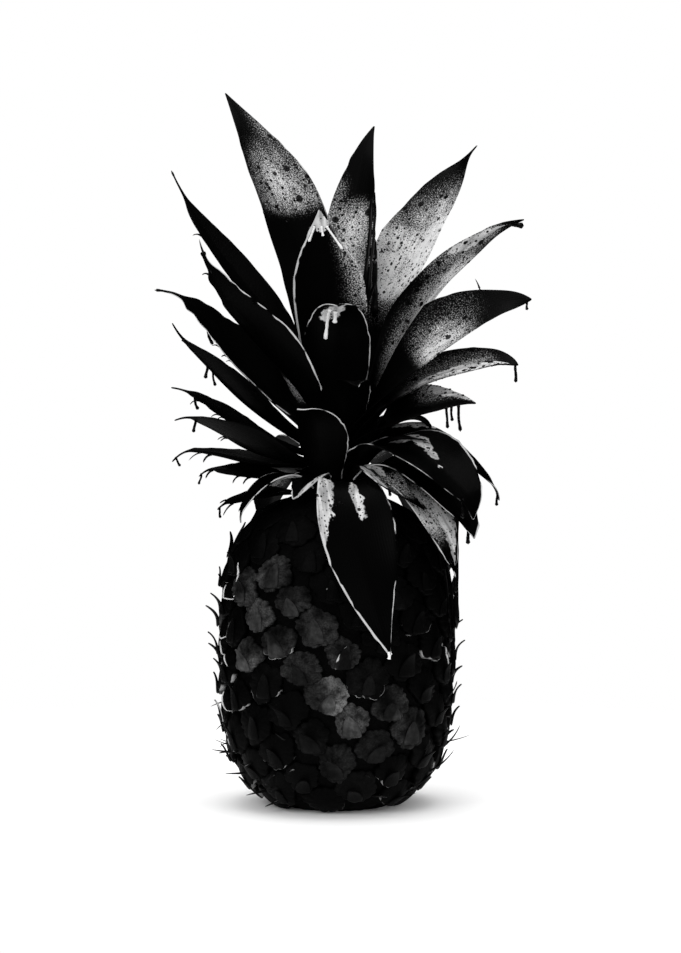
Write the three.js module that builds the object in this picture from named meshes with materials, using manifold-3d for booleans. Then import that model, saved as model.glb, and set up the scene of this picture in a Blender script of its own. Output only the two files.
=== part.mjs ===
// A whole pineapple: the fruit standing on its cut base, with its crown of leaves on top.
// Millimetres, +Z up. The origin is the centre of the cut base, and -Y is the front of the fruit.
// Azimuths are degrees counterclockwise from +X, seen from above, so 180 is the left and 270 the front.
import * as THREE from "three";
import { ConvexHull } from "three/addons/math/ConvexHull.js";
import { LoftGeometry } from "three/addons/geometries/LoftGeometry.js";
import { mergeVertices } from "three/addons/utils/BufferGeometryUtils.js";
import Module from "manifold-3d";

const wasm = await Module();
wasm.setup();

// ---- driving dimensions ----

const FRUIT_RADIUS = 58;
const BELLY_HEIGHT = 78; // where the fruit is widest
const BELLY_TO_POLE = 82; // from the widest level to either end of the uncut form
const BARREL_POWER = 3.4; // how late the side turns in towards an end
const BARREL_ROUNDING = 2.4;
const SEAT_HEIGHT = 157; // flat top that carries the crown

const EYE_COUNT = 150;
const GOLDEN_ANGLE = Math.PI * (3 - Math.sqrt(5));
const GROOVE_DEPTH = 3.2; // between neighbouring eyes
const EYE_LIFT = 1.6; // of the eye's shoulder above the barrel
const EYE_SHOULDER = 0.62; // the shoulder's share of the way from the eye's centre to its groove
const BRACT_LENGTH = 3.6; // pointed scale in the middle of each eye
const BRACT_RISE = 3; // how far its point leans up
const CROWDED_FROM = 122; // eyes get smaller from here up
const CROWDED_TO = 150;
const CROWDED_SIZE = 0.22;

const BASAL_ROOT = 8; // how far inside the skin the longer bracts start
const BASAL_HALF_WIDTH = 3; // of those, at the root
const BASAL_TIP = 0.25;
const BASAL_FLATNESS = 0.45; // thickness as a share of width

const STALK_RADIUS = 13;
const STALK_DEPTH = 12; // how far the cut stalk reaches into the base
const STALK_CHAMFER = 1;
const CLEARANCE = 0.3;
const ROUND_STEPS = 32; // sides of what is turned about the axis

const OUTER_RADIUS = 19.5; // leaf bases: the outermost is level 0
const OUTER_HEIGHT = 158.4;
const RADIUS_PER_LEVEL = 0.385;
const HEIGHT_PER_LEVEL = 0.85;
const GROWING_TIP = 4; // how far the stem's point rises above the innermost leaf's base

const BLADE_STEPS = 10;
const BASE_SHARE = 0.6; // a leaf's width at its base, as a share of its widest
const BLADE_BASE_THICKNESS = 2.4;
const BLADE_TIP_THICKNESS = 0.9;
const CLASP = 1.2; // how far round the stem a leaf's base reaches, in radians to each side
const TIP_WIDTH = 0.7;
const TIP_TAPER = 1.1; // how soon most blades narrow to their tips
const LEAST_GUTTER = 16; // smallest radius of a blade's hollow once it is clear of the stem
const OPEN_BY = 0.3; // share of the length over which the hollow opens out
const ROLLED_BY = 0.5; // share of the length over which the blade turns about its line
const CURL_FROM = 0.86; // the dry tip curls over from here
const PULL = 0.42; // how far the end slopes reach into the blade's curve, as a share of its span
const SHARES = [-1, -0.5, 0, 0.5, 1]; // of the half width, where a blade's section has its points

// One leaf of the crown. azimuth: where it points. tip: distance from the axis, and height. slope: in
// degrees above the horizontal, at the base and at the tip. width: of the flattened blade at its fullest.
// roll: the blade's turn about its own line. swing: how far round the tip is carried. curl: how far the
// dry tip hooks over. taper: how soon the blade narrows to its tip.
function leaf(at, azimuth, tip, slope, width, { roll = 0, swing = 0, curl = 0, taper = TIP_TAPER } = {}) {
  return { at, azimuth, tip, slope, width, roll, swing, curl, taper };
}

// The crown from the outside in, tier by tier; each leaf sits one level above the one before it. fullest
// is the share of the way along where a tier's leaves are widest.
const TIERS = [
  {
    tier: "hanging",
    fullest: 0.4,
    leaves: [
      leaf("front", 278, [71, 83], [50, -82], 40, { swing: 14 }),
      leaf("left_short", 177, [61, 153], [0, -12], 16, { roll: -20, swing: 5, curl: 2.5, taper: 0.8 }),
      leaf("right", 324, [69, 118], [40, -88], 33, { roll: 5, swing: 6 }),
      leaf("back", 96, [68, 112], [42, -78], 30, { swing: -8, curl: 2 }),
      leaf("left", 216, [58, 146], [54, -80], 18, { swing: -4, curl: 2 }),
      leaf("back_right", 44, [70, 128], [45, -74], 28, { swing: 6, curl: 3 }),
      leaf("far_right", 343, [77.5, 139], [60, -55], 48, { roll: 16, swing: -7, curl: 2 }),
      leaf("back_left", 130, [68, 134], [46, -70], 26, { swing: -6, curl: 3 }),
      leaf("front_left", 242, [35, 157.5], [62, -84], 20, { swing: -10 }),
    ],
  },
  {
    tier: "arching",
    fullest: 0.42,
    leaves: [
      leaf("front", 252, [44, 203], [74, -8], 28, { swing: -8 }),
      leaf("front_right", 303, [63, 155], [58, -22], 22, { swing: 12, curl: 2 }),
      leaf("left", 186, [70, 171.5], [-5, -1], 19, { roll: -23, swing: -5, curl: 4 }),
      leaf("back", 74, [80, 160], [58, -58], 28, { swing: -6, curl: 4 }),
      leaf("back_right", 48, [78, 174], [56, -44], 26, { swing: 5, curl: 4 }),
      leaf("right", 325, [90, 153], [61, -46], 45, { roll: 13, swing: -3, curl: 6, taper: 0.8 }),
      leaf("back_left", 114, [74, 168], [58, -50], 26, { swing: 4, curl: 4 }),
      leaf("far_left", 170, [84.5, 180.5], [-1, -1], 19, { roll: -15, swing: 5, curl: 6 }),
      leaf("far_right", 360, [86.5, 157], [70, -50], 41, { roll: 12, swing: 4, curl: 3.5 }),
      leaf("front_left", 206, [86, 201], [4.5, 13.5], 30, { roll: 15, swing: -4, curl: 4 }),
    ],
  },
  {
    tier: "spreading",
    fullest: 0.46,
    leaves: [
      leaf("back_right", 20, [53, 190], [66, -60], 30, { curl: 2 }),
      leaf("front_right", 332, [75.5, 207.5], [57, 2], 38.5, { roll: 31, swing: 6, curl: 2 }),
      leaf("back", 92, [84, 206], [62, -24], 28, { curl: 4 }),
      leaf("far_back", 66, [78, 216], [66, -14], 26, { swing: 4, curl: 3 }),
      leaf("left", 178, [83, 215], [10, 28], 21.5, { roll: -17, swing: 1, curl: 2.5, taper: 0.8 }),
      leaf("right", 345, [94.5, 229], [67, 6], 30.5, { roll: 32, swing: -1, curl: 4.5, taper: 0.6 }),
      leaf("back_left", 124, [76, 222], [64, 0], 28, { swing: 4, curl: 3 }),
      leaf("front_left", 198.5, [86.5, 243.5], [28, 40], 28.5, { roll: 12, swing: -5, curl: 1.5 }),
      leaf("front", 284, [46, 214], [84, -30], 28),
    ],
  },
  {
    tier: "rising",
    fullest: 0.5,
    leaves: [
      leaf("right", 353.5, [99.3, 259.5], [66.5, 12], 40, { roll: 45, swing: -2, curl: 2, taper: 0.85 }),
      leaf("back", 76, [76, 246], [70, 10], 30, { curl: 3 }),
      leaf("left", 168.5, [89.5, 267.5], [42, 40], 39.5, { roll: -18, swing: 5, curl: 6.5 }),
      leaf("back_left", 104, [68, 264], [72, 20], 30, { swing: 4, curl: 2 }),
      leaf("back_right", 5, [93.5, 301.5], [66.5, 34], 33.5, { roll: -33, swing: -4, curl: 4 }),
      leaf("front_left", 211, [78.5, 286.5], [74, 66], 30.5, { roll: 16, swing: -3, curl: 1.5 }),
      leaf("front", 272, [46, 254], [82, -12], 36),
    ],
  },
  {
    tier: "tall",
    fullest: 0.6,
    leaves: [
      leaf("left", 154, [93.5, 325], [75, 64], 26, { roll: -12, swing: 2.5 }),
      leaf("right", 37, [88.3, 340], [72, 52], 42.5, { roll: 10, swing: -2.5, curl: 2 }),
      leaf("front", 258, [30, 302], [86, 76], 40, { swing: -4 }),
      leaf("back_left", 130.5, [77, 366], [81, 52], 42, { roll: -8, swing: 8.5 }),
      leaf("back", 71, [45, 349.5], [78, 59], 26.5, { roll: 4, swing: -6, curl: 2.5 }),
    ],
  },
  {
    tier: "heart",
    fullest: 0.5,
    leaves: [
      leaf("right", 350, [20, 266], [86, 70], 20),
      leaf("left", 200, [20, 270], [86, 72], 18),
      leaf("back", 95, [16, 280], [88, 76], 14),
    ],
  },
];

// Longer dry bracts stand out from the lowest eyes: azimuth, height at the root, length and slope.
const BASAL_BRACTS = [
  { azimuth: 187, height: 9, length: 9, slope: -8 },
  { azimuth: 204, height: 20, length: 10, slope: 2 },
  { azimuth: 170, height: 24, length: 9, slope: -12 },
  { azimuth: 236, height: 10, length: 9, slope: -4 },
  { azimuth: 300, height: 9, length: 9, slope: 2 },
  { azimuth: 338, height: 14, length: 15, slope: 28 },
  { azimuth: 350, height: 25, length: 13, slope: 34 },
  { azimuth: 18, height: 16, length: 11, slope: 10 },
  { azimuth: 58, height: 12, length: 12, slope: 4 },
  { azimuth: 98, height: 20, length: 10, slope: -8 },
  { azimuth: 134, height: 11, length: 11, slope: 6 },
];

// ---- small helpers ----

const radians = THREE.MathUtils.degToRad;
const mix = THREE.MathUtils.lerp;
const smooth = (x) => THREE.MathUtils.smoothstep(x, 0, 1);

// A geometry as a manifold-3d solid: points that meet are merged, and faces that vanish are dropped.
function solidOf(geometry) {
  const bare = new THREE.BufferGeometry().setAttribute("position", geometry.getAttribute("position"));
  bare.setIndex(geometry.index);
  const merged = mergeVertices(bare, 1e-4);
  const corners = Array.from(merged.index.array);
  const faces = corners.filter((_, i) => {
    const [a, b, c] = corners.slice(i - (i % 3), i - (i % 3) + 3);
    return a !== b && b !== c && c !== a;
  });
  return new wasm.Manifold(
    new wasm.Mesh({
      numProp: 3,
      vertProperties: merged.attributes.position.array,
      triVerts: new Uint32Array(faces),
    }),
  );
}

// A manifold-3d solid as a geometry.
function geometryOf(solid) {
  const mesh = solid.getMesh();
  const geometry = new THREE.BufferGeometry();
  geometry.setAttribute("position", new THREE.BufferAttribute(mesh.vertProperties, 3));
  geometry.setIndex(new THREE.BufferAttribute(mesh.triVerts, 1));
  geometry.computeVertexNormals();
  return geometry;
}

function material(colour, roughness) {
  return new THREE.MeshStandardMaterial({ color: colour, roughness, metalness: 0 });
}

function part(name, geometry, finish) {
  const mesh = new THREE.Mesh(geometry, finish);
  mesh.name = name;
  return mesh;
}

// ---- the fruit ----

// The barrel's radius at a height.
function barrelRadius(height) {
  const share = Math.min(1, Math.abs(height - BELLY_HEIGHT) / BELLY_TO_POLE);
  return FRUIT_RADIUS * (1 - share ** BARREL_POWER) ** (1 / BARREL_ROUNDING);
}

// Heights that share the barrel's skin out evenly between the eyes, from the base up.
function eyeHeights() {
  const slices = 4000;
  const low = BELLY_HEIGHT - BELLY_TO_POLE;
  const step = (2 * BELLY_TO_POLE) / slices;
  const area = [0];
  for (let i = 0; i < slices; i++) {
    const r0 = barrelRadius(low + i * step);
    const r1 = barrelRadius(low + (i + 1) * step);
    area.push(area[i] + (r0 + r1) * Math.hypot(step, r1 - r0));
  }
  const total = area[slices];
  const heights = [];
  for (let eye = 0, i = 0; eye < EYE_COUNT; eye++) {
    const wanted = (total * (eye + 0.5)) / EYE_COUNT;
    while (area[i + 1] < wanted) i++;
    heights.push(low + (i + (wanted - area[i]) / (area[i + 1] - area[i])) * step);
  }
  return heights;
}

// The barrel's outward normal at a height, as its radial and vertical parts.
function barrelNormal(height) {
  const h = 0.05;
  const dr = barrelRadius(height + h) - barrelRadius(height - h);
  const length = Math.hypot(2 * h, dr);
  return { radial: (2 * h) / length, up: -dr / length };
}

// How large an eye is at a height: full size on the belly, small under the crown.
function eyeSize(height) {
  const crowding = THREE.MathUtils.smoothstep(height, CROWDED_FROM, CROWDED_TO);
  return mix(1, CROWDED_SIZE, crowding);
}

// The eyes' faceted skin. The hull of the eyes' centres says which eyes are neighbours: each face of it
// has a groove point, and each eye rises from the ring of groove points around it to its bract's point.
function skinSolid() {
  const eyes = eyeHeights().map((height, i) => {
    const angle = i * GOLDEN_ANGLE;
    const r = barrelRadius(height);
    const point = new THREE.Vector3(r * Math.cos(angle), r * Math.sin(angle), height);
    const n = barrelNormal(height);
    const normal = new THREE.Vector3(n.radial * Math.cos(angle), n.radial * Math.sin(angle), n.up);
    return { point, normal, size: eyeSize(height) };
  });
  const eyeAt = new Map(eyes.map((eye) => [eye.point, eye]));
  const hull = new ConvexHull().setFromPoints(eyes.map((eye) => eye.point));

  const groove = new Map();
  for (const face of hull.faces) {
    const corners = [face.getEdge(0), face.getEdge(1), face.getEdge(2)].map((edge) => edge.head().point);
    const middle = new THREE.Vector3();
    corners.forEach((corner) => middle.addScaledVector(corner, 1 / 3));
    const size = eyeAt.get(corners[0]).size;
    groove.set(face, middle.addScaledVector(face.normal, -GROOVE_DEPTH * size));
  }

  const triangles = [];
  for (const face of hull.faces) {
    for (let i = 0; i < 3; i++) {
      const edge = face.getEdge(i);
      const eye = eyeAt.get(edge.tail().point);
      const right = groove.get(edge.twin.face);
      const left = groove.get(face);
      const lift = eye.normal.clone().multiplyScalar(EYE_LIFT * eye.size);
      const shoulder = (corner) => eye.point.clone().lerp(corner, EYE_SHOULDER).add(lift);
      const right2 = shoulder(right);
      const left2 = shoulder(left);
      const tip = eye.point.clone().addScaledVector(eye.normal, BRACT_LENGTH * eye.size);
      tip.z += BRACT_RISE * eye.size;
      triangles.push(right, left, left2, right, left2, right2, right2, left2, tip);
    }
  }
  return solidOf(new THREE.BufferGeometry().setFromPoints(triangles));
}

// A long dry bract at the foot of the fruit: a slender bent spike, rooted inside the skin.
function basalBract({ azimuth, height, length, slope }) {
  const angle = radians(azimuth);
  const root = barrelRadius(height) - BASAL_ROOT;
  const sections = [0, 0.35, 0.7, 1].map((u) => {
    const along = (BASAL_ROOT + length) * u;
    const lean = radians(slope) * (0.3 + 0.9 * u);
    const centre = new THREE.Vector3(root + along * Math.cos(lean), 0, height + along * Math.sin(lean));
    const half = mix(BASAL_HALF_WIDTH, BASAL_TIP, u);
    const thick = half * BASAL_FLATNESS;
    const corners = [[-half, 0], [0, -thick], [half, 0], [0, thick]];
    return corners.map(([y, z]) => {
      const point = new THREE.Vector3(0, y, z).add(centre);
      return point.applyAxisAngle(new THREE.Vector3(0, 0, 1), angle);
    });
  });
  return solidOf(new LoftGeometry(sections, { capStart: true, capEnd: true }));
}

// An upright cylinder on the fruit's axis, between two heights.
function cylinder(radius, bottom, top) {
  const geometry = new THREE.CylinderGeometry(radius, radius, top - bottom, ROUND_STEPS);
  return solidOf(geometry.rotateX(Math.PI / 2).translate(0, 0, (bottom + top) / 2));
}

// The fruit is one solid: skin, bracts, the flat cut base, the seat of the crown and the stalk's socket.
function fruitBody() {
  const below = cylinder(FRUIT_RADIUS, -FRUIT_RADIUS, 0);
  const above = cylinder(FRUIT_RADIUS, SEAT_HEIGHT, SEAT_HEIGHT + FRUIT_RADIUS);
  const socket = cylinder(STALK_RADIUS + CLEARANCE, -STALK_DEPTH, STALK_DEPTH + CLEARANCE);
  let body = skinSolid();
  for (const bract of BASAL_BRACTS) body = body.add(basalBract(bract));
  body = body.subtract(below).subtract(above).subtract(socket);
  return part("fruit_body", geometryOf(body), material(0x161616, 0.5));
}

function cutStalk() {
  const profile = [
    [0, 0],
    [STALK_RADIUS - STALK_CHAMFER, 0],
    [STALK_RADIUS, STALK_CHAMFER],
    [STALK_RADIUS, STALK_DEPTH],
    [0, STALK_DEPTH],
  ].map(([r, z]) => new THREE.Vector2(r, z));
  const geometry = new THREE.LatheGeometry(profile, ROUND_STEPS).rotateX(Math.PI / 2);
  return part("cut_stalk", geometry, material(0x2a2826, 0.8));
}

// ---- the crown ----

// Every leaf of every tier, from the outside in, with its name and the place of its base.
const LEAVES = TIERS.flatMap(({ tier, fullest, leaves }) =>
  leaves.map((row) => ({ ...row, fullest, name: `${tier}_leaf_${row.at}` })),
).map((row, level) => ({
  ...row,
  base: [OUTER_RADIUS - RADIUS_PER_LEVEL * level, OUTER_HEIGHT + HEIGHT_PER_LEVEL * level],
}));

// The stem carries the leaf bases: it tapers with them and stays clear inside them.
function crownStem() {
  const gap = BLADE_BASE_THICKNESS / 2 + CLEARANCE;
  const [bottomRadius, bottomHeight] = LEAVES[0].base;
  const [topRadius, topHeight] = LEAVES.at(-1).base;
  const profile = [
    [0, SEAT_HEIGHT + CLEARANCE],
    [bottomRadius - gap, SEAT_HEIGHT + CLEARANCE],
    [bottomRadius - gap, bottomHeight],
    [topRadius - gap, topHeight],
    [0, topHeight + GROWING_TIP],
  ].map(([r, z]) => new THREE.Vector2(r, z));
  const geometry = new THREE.LatheGeometry(profile, ROUND_STEPS).rotateX(Math.PI / 2);
  return part("crown_stem", geometry, material(0x1c1c1a, 0.7));
}

// The blade's width from base (u = 0) to tip (u = 1).
function bladeWidth({ width, fullest, taper }, u) {
  if (u < fullest) return width * mix(BASE_SHARE, 1, smooth(u / fullest));
  const beyond = (u - fullest) / (1 - fullest);
  return TIP_WIDTH + (width - TIP_WIDTH) * Math.cos((beyond * Math.PI) / 2) ** taper;
}

// The line that a leaf's blade follows, as a function from u to a point.
function bladeLine({ base, tip, slope, curl, azimuth, swing }) {
  const start = new THREE.Vector2(...base);
  const end = new THREE.Vector2(...tip);
  const pull = PULL * start.distanceTo(end);
  const turn = (degrees) => new THREE.Vector2(Math.cos(radians(degrees)), Math.sin(radians(degrees)));
  const curve = new THREE.CubicBezierCurve(
    start,
    start.clone().addScaledVector(turn(slope[0]), pull),
    end.clone().addScaledVector(turn(slope[1]), -pull),
    end,
  );
  return (u) => {
    const along = THREE.MathUtils.clamp(u, 0, 1);
    const p = curve.getPointAt(along);
    const t = curve.getTangentAt(along);
    const curled = curl * Math.max(0, (along - CURL_FROM) / (1 - CURL_FROM)) ** 2;
    const r = p.x + t.y * curled;
    const angle = radians(azimuth + swing * along * along);
    return new THREE.Vector3(r * Math.cos(angle), r * Math.sin(angle), p.y - t.x * curled);
  };
}

// A leaf as a closed blade: a shallow gutter that clasps the stem at its base, thickest along its
// middle and sharp along its margins. grown makes it larger by a clearance all round.
function bladeSolid(row, grown = 0) {
  const line = bladeLine(row);
  const points = [];
  for (let i = 0; i <= BLADE_STEPS; i++) {
    const u = i / BLADE_STEPS;
    const pastEnd = { 0: -grown, [BLADE_STEPS]: grown }[i] ?? 0;
    const ahead = line(u + 0.01).sub(line(u - 0.01)).normalize();
    const centre = line(u).addScaledVector(ahead, pastEnd);
    const angle = radians(row.azimuth + row.swing * u * u);
    const level = new THREE.Vector3(-Math.sin(angle), Math.cos(angle), 0);
    const inward = new THREE.Vector3().crossVectors(ahead, level).normalize();
    const across = new THREE.Vector3().crossVectors(inward, ahead).normalize();
    const roll = radians(row.roll) * smooth(u / ROLLED_BY);
    across.applyAxisAngle(ahead, roll);
    inward.applyAxisAngle(ahead, roll);
    const gutter = mix(row.base[0], Math.max(LEAST_GUTTER, row.width), smooth(u / OPEN_BY));
    const halfWidth = Math.min(bladeWidth(row, u) / 2, CLASP * gutter);
    const halfThickness = mix(BLADE_BASE_THICKNESS, BLADE_TIP_THICKNESS, u) / 2;
    for (const side of [1, -1]) {
      for (const share of SHARES) {
        const pastMargin = Math.trunc(share) * grown;
        const bend = (share * halfWidth + pastMargin) / gutter;
        const thick = halfThickness * (1 - share * share) + grown;
        const lift = gutter * (1 - Math.cos(bend)) + side * thick;
        const point = centre.clone().addScaledVector(across, gutter * Math.sin(bend));
        points.push(point.addScaledVector(inward, lift));
      }
    }
  }
  return solidOf(new THREE.BufferGeometry().setFromPoints(points).setIndex(bladeFaces()));
}

// The faces of a blade over its rows of points: each row is the inner sheet's points and then the outer
// sheet's. Both sheets share their diagonals, so they never cross where the blade thins to its margins.
function bladeFaces() {
  const faces = [];
  const quad = (a, b, c, d) => faces.push(a, b, c, a, c, d);
  const outer = SHARES.length;
  const row = 2 * outer;
  const last = BLADE_STEPS * row;
  for (let step = 0; step < last; step += row) {
    for (let a = step; a < step + outer - 1; a++) {
      quad(a, a + row, a + row + 1, a + 1);
      quad(a + outer + row + 1, a + outer + row, a + outer, a + outer + 1);
    }
    const [left, right] = [step, step + outer - 1];
    quad(left + outer, left + outer + row, left + row, left);
    quad(right + outer, right, right + row, right + outer + row);
  }
  for (let a = 0; a < outer - 1; a++) {
    quad(a + outer, a, a + 1, a + 1 + outer);
    quad(last + a + outer, last + a + 1 + outer, last + a + 1, last + a);
  }
  return faces;
}

// The crown's leaves, from the growing tip outwards. Where an outer leaf would press into the ones
// inside it, it is pared back to a clearance from them.
function crownLeaves() {
  const made = [];
  for (const row of [...LEAVES].reverse()) {
    let blade = bladeSolid(row);
    for (const inner of made) {
      if (blade.intersect(inner.grown).volume() > 0) blade = blade.subtract(inner.grown);
    }
    const pieces = blade.decompose().sort((a, b) => b.volume() - a.volume());
    made.push({ name: row.name, blade: pieces[0], grown: bladeSolid(row, CLEARANCE) });
  }
  return made.reverse().map(({ name, blade }) => part(name, geometryOf(blade), material(0x101010, 0.4)));
}

const pineapple = new THREE.Group();
pineapple.add(fruitBody(), cutStalk(), crownStem(), ...crownLeaves());

export default pineapple;
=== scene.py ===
"""A whole pineapple under black spray lacquer, standing on its cut base on a pale studio floor.

Metres, +Z up. The origin is the centre of the cut base and -Y is the front of the fruit. Azimuths are
degrees counterclockwise from +X, seen from above, so 180 is the left and 270 the front. Sizes of the
fruit's own parts are written in millimetres and multiplied by MM where they are used.
"""

import math
import random
from collections import namedtuple

import bmesh
import bpy
import numpy as np
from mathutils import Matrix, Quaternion, Vector, noise
from mathutils.bvhtree import BVHTree


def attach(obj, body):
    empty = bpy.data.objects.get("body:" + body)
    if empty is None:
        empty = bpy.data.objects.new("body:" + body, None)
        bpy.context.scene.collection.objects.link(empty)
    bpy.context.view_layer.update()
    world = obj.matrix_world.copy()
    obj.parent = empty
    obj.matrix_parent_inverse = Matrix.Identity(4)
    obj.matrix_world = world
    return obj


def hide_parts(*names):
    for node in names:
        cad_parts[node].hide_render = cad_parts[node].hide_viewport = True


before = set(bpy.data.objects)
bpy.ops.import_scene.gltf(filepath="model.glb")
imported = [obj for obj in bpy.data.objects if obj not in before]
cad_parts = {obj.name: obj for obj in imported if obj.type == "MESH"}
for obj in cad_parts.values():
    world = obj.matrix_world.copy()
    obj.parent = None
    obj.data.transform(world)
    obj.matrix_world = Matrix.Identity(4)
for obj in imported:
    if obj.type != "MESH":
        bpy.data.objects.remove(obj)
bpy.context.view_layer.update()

MM = 0.001
UP = Vector((0, 0, 1))
FULL_TURN = 2 * math.pi

# ---- the fruit, in millimetres ----

FRUIT_RADIUS = 58
BELLY_HEIGHT = 78  # where the fruit is widest
BELLY_TO_POLE = 82  # from the widest level to either end of the uncut form
BARREL_POWER = 3.4  # how late the side turns in towards an end
BARREL_ROUNDING = 2.4
SEAT_HEIGHT = 157  # flat top that carries the crown
STALK_RADIUS = 13
STALK_DEPTH = 12
CLEARANCE = 0.3

RIND_ROWS = 110
RIND_STEPS = 220  # round the fruit
EYE_COUNT = 172
GOLDEN_ANGLE = math.pi * (3 - math.sqrt(5))
EYE_RADIUS = 10.6  # of an eye's scalloped face
EYE_LOBES = 14
EYE_RINGS = (0.0, 0.32, 0.58, 0.78, 0.91, 0.98, 1.0, 0.0)  # shares of the way out, and back under the face
EYE_STAND = 0.6  # of a face's edge off the rind
EYE_DOME = 1.5  # how far the middle of a face stands above its edge
EYE_TILT = 1.3  # how far the lower edge stands out over the eye below
EYE_SKIRT = 2.6  # how far the edge reaches down into the groove
GROOVE_DEPTH = 2.4  # of the rind between the eyes
GROOVE_BANK = 5  # how far from a groove's middle the rind has risen under an eye
CROWDED_FROM = 122  # eyes get flatter from here up
CROWDED_TO = 150
CROWDED_SIZE = 0.3
BRACT_SEED = 1000  # seeds of the dice for each eye's bract and wear, above those for its face
WEAR_SEED = 2000
BRACT_ROOT = -0.75  # its height on the eye's face, as a share of the face's radius
BRACT_THICKNESS = 0.7
BRACT_ACROSS = 4  # faces across and along a bract
BRACT_ALONG = 7
BASAL_ROOT = 6  # how far a basal bract is rooted inside the fruit
BASAL_RADIUS = 2.8
BASAL_TIP_RADIUS = 0.35
BASAL_STEPS = 12

# The eyes are painted grey round these places, as paint rubbed off and, on the fruit's front, as a painted
# highlight where it is lit: azimuth, height, reach and how much.
WORN_AND_LIT_PLACES = (
    (232, 114, 20, 1.0),
    (246, 92, 22, 0.95),
    (226, 82, 16, 0.5),
    (263, 68, 22, 1.0),
    (262, 60, 11, 1.9),
    (280, 50, 24, 0.6),
    (274, 30, 18, 0.5),
    (304, 48, 15, 0.35),
    (20, 84, 32, 0.8),
    (62, 52, 26, 0.7),
    (104, 92, 30, 0.8),
    (138, 48, 30, 0.7),
    (170, 96, 20, 0.6),
)

# Longer dry bracts at the fruit's foot: azimuth, height at the root, length and slope.
BASAL_BRACTS = (
    (172, 26, 9, -6),
    (190, 27, 12, 6),
    (202, 18, 13, 2),
    (213, 10, 12, -4),
    (224, 6, 11, -8),
    (300, 9, 9, 2),
    (324, 8, 17, 20),
    (338, 16, 21, 28),
    (350, 27, 17, 34),
    (18, 16, 11, 10),
    (58, 12, 12, 4),
    (98, 20, 10, -8),
    (134, 11, 11, 6),
)

# ---- the crown, in millimetres ----

OUTER_RADIUS = 19.5  # where the outermost leaf, which is level 0, grows from the stem
OUTER_HEIGHT = 158.4
RADIUS_PER_LEVEL = 0.385  # how much nearer the axis each next base is, and how much higher
HEIGHT_PER_LEVEL = 0.85
BASE_SHARE = 0.6  # width of a leaf's base, as a share of its full width
BASE_THICKNESS = 2.2
TIP_WIDTH = 0.7
TIP_TAPER = 1.1  # how soon a leaf tapers: a higher power leaves a longer thin tip
CLASP = 1.2  # the most that half a leaf's section wraps round, in radians
LEAST_GUTTER = 16  # least radius of a leaf's section once it has opened out
OPEN_BY = 0.3  # share along a leaf at which its section has opened out
ROLLED_BY = 0.5  # share along at which it has rolled all the way about its own line
CURL_FROM = 0.86  # share along from which its tip curls
TORN_FROM = 0.5  # share along from which a dry leaf's margins are torn
TEAR_LENGTH = 5  # of one tear along a margin
UPPER_TEARS = 0.3  # depth of the tears in its upper margin, as a share of those in its lower one
LEAST_KEPT = 0.4  # share of its width that the deepest tear leaves
SHRIVELLED_FROM = 0.84  # share along from which its tip has shrunk, and the share that is left of its width
SHRIVELLED_TO = 0.38
NICKED = 0.12  # how many of the places along its margins are nicked
PULL = 0.42  # how long a leaf's line holds its slope at either end, as a share of its span
KEEL = 0.5  # how far its midrib stands out, and the share of the way to a margin that it takes up
KEEL_WIDTH = 0.16
BLADE_ACROSS = 10  # faces across and along a leaf
BLADE_ALONG = 44
PATTERN_STEP = 90  # sets each leaf's paint pattern apart from its neighbour's
SPLINTER_STEPS = 8
STEM_RINGS = 36
STEM_STEPS = 48  # round the stem
SCAR_DEPTH = 0.5

Leaf = namedtuple("Leaf", "name base fullest azimuth tip slope width roll swing curl taper torn",
                  defaults=(0, 0, 0, TIP_TAPER, 0))

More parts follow.
